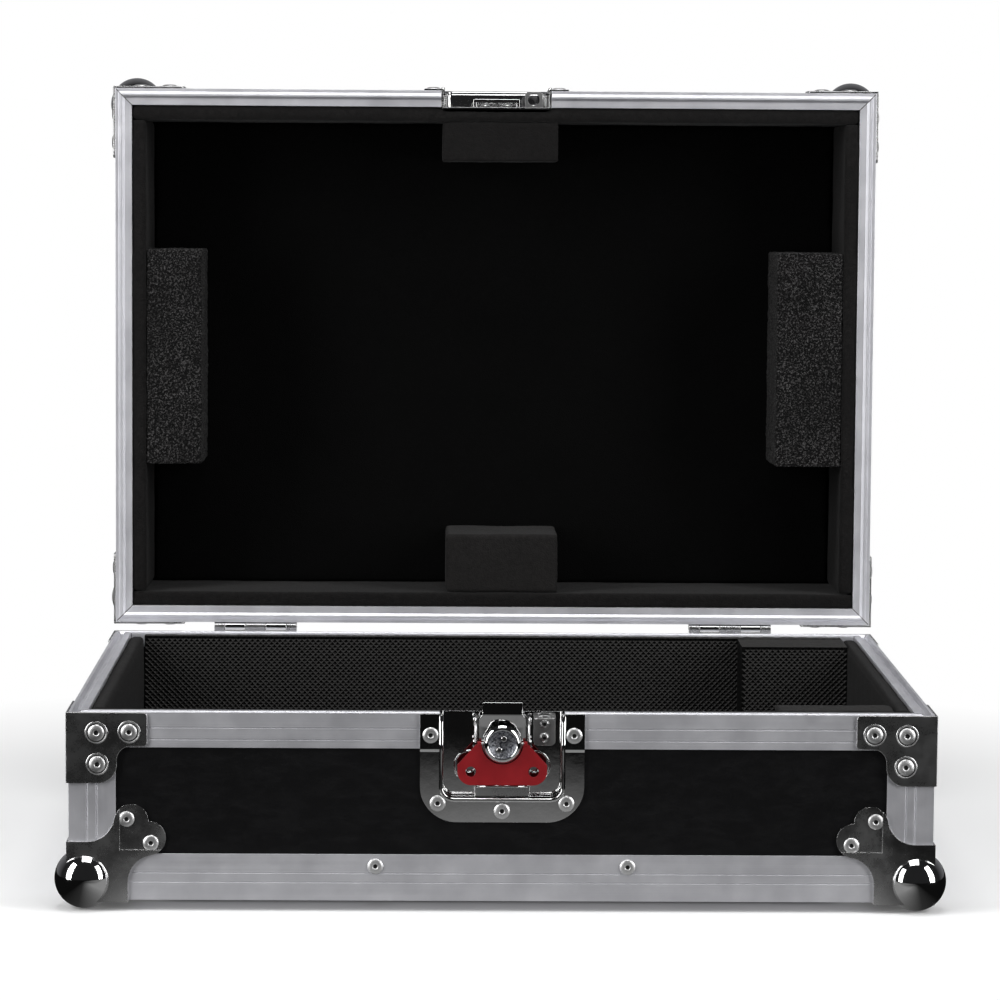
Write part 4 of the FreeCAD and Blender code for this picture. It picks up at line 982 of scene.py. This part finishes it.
def studio_world():
    """White all round for the eye; reflections also find the dark room that lies in front."""
    world = bpy.data.worlds.new("studio")
    bpy.context.scene.world = world
    nodes = Nodes(world)
    nodes.tree.nodes.clear()

    def light(colour, strength):
        return nodes.add("Background", Color=colour, Strength=strength).outputs["Background"]

    ways = nodes.split(nodes.add("TexCoord").outputs["Generated"])
    rearward = nodes.math("MULTIPLY_ADD", ways["Y"], 0.5, 0.5)
    room = light(nodes.ramp(rearward, (0.55, ROOM_DARK), (0.94, ROOM_PALE)), 1.0)
    sight = nodes.add("LightPath").outputs
    mirror = nodes.mix_shaders(sight["Is Glossy Ray"], light(FILL_COLOUR, FILL_STRENGTH), room)
    seen = nodes.math("MAXIMUM", sight["Is Camera Ray"], sight["Is Transmission Ray"])
    whole = nodes.mix_shaders(seen, mirror, light(grey(1.0), 1.0))
    nodes.add("OutputWorld", Surface=whole)


studio_world()


def softbox(name, place, aim, wide, high, power):
    """A rectangular lamp that looks at a point."""
    lamp = bpy.data.lights.new(name, "AREA")
    lamp.shape = "RECTANGLE"
    lamp.size = wide
    lamp.size_y = high
    lamp.energy = power
    holder = new_object(name, lamp)
    holder.location = place
    holder.rotation_euler = (Vector(aim) - Vector(place)).to_track_quat("-Z", "Y").to_euler()


softbox("left", (-1.5, -0.9, 0.8), (0, 0, 0.15), 0.6, 1.7, 26.0)
softbox("right", (1.5, -0.9, 0.8), (0, 0, 0.15), 0.6, 1.7, 23.0)
softbox("overhead", (0.0, -0.4, 2.2), (0, -0.1, 0.1), 1.1, 0.9, 20.0)

CAMERA_PLACE = (-0.0484, -2.6891, 0.5163)
CAMERA_TURN = (6.624, -1.056, 0.426)
CAMERA_LENS = 142.855
CAMERA_SHIFT = 0.06


def photo_camera():
    """Camera fitted to the photograph's corner points; its turn is pitch, yaw and roll."""
    pitch, yaw, roll = (math.radians(angle) for angle in CAMERA_TURN)
    ahead = math.cos(pitch)
    forward = Vector((-math.sin(yaw) * ahead, math.cos(yaw) * ahead, -math.sin(pitch)))
    level = Vector((math.cos(yaw), math.sin(yaw), 0.0))
    upward = level.cross(forward)
    right = level * math.cos(roll) + upward * math.sin(roll)
    top = upward * math.cos(roll) - level * math.sin(roll)
    turn = Matrix((right, top, -forward)).transposed().to_4x4()
    data = bpy.data.cameras.new("photo_camera")
    data.sensor_width = 36.0
    data.lens = CAMERA_LENS
    data.shift_y = CAMERA_SHIFT
    data.clip_end = 60.0
    camera = new_object("photo_camera", data)
    camera.matrix_world = Matrix.Translation(CAMERA_PLACE) @ turn
    bpy.context.scene.camera = camera


photo_camera()
bpy.context.scene.view_settings.view_transform = "Standard"
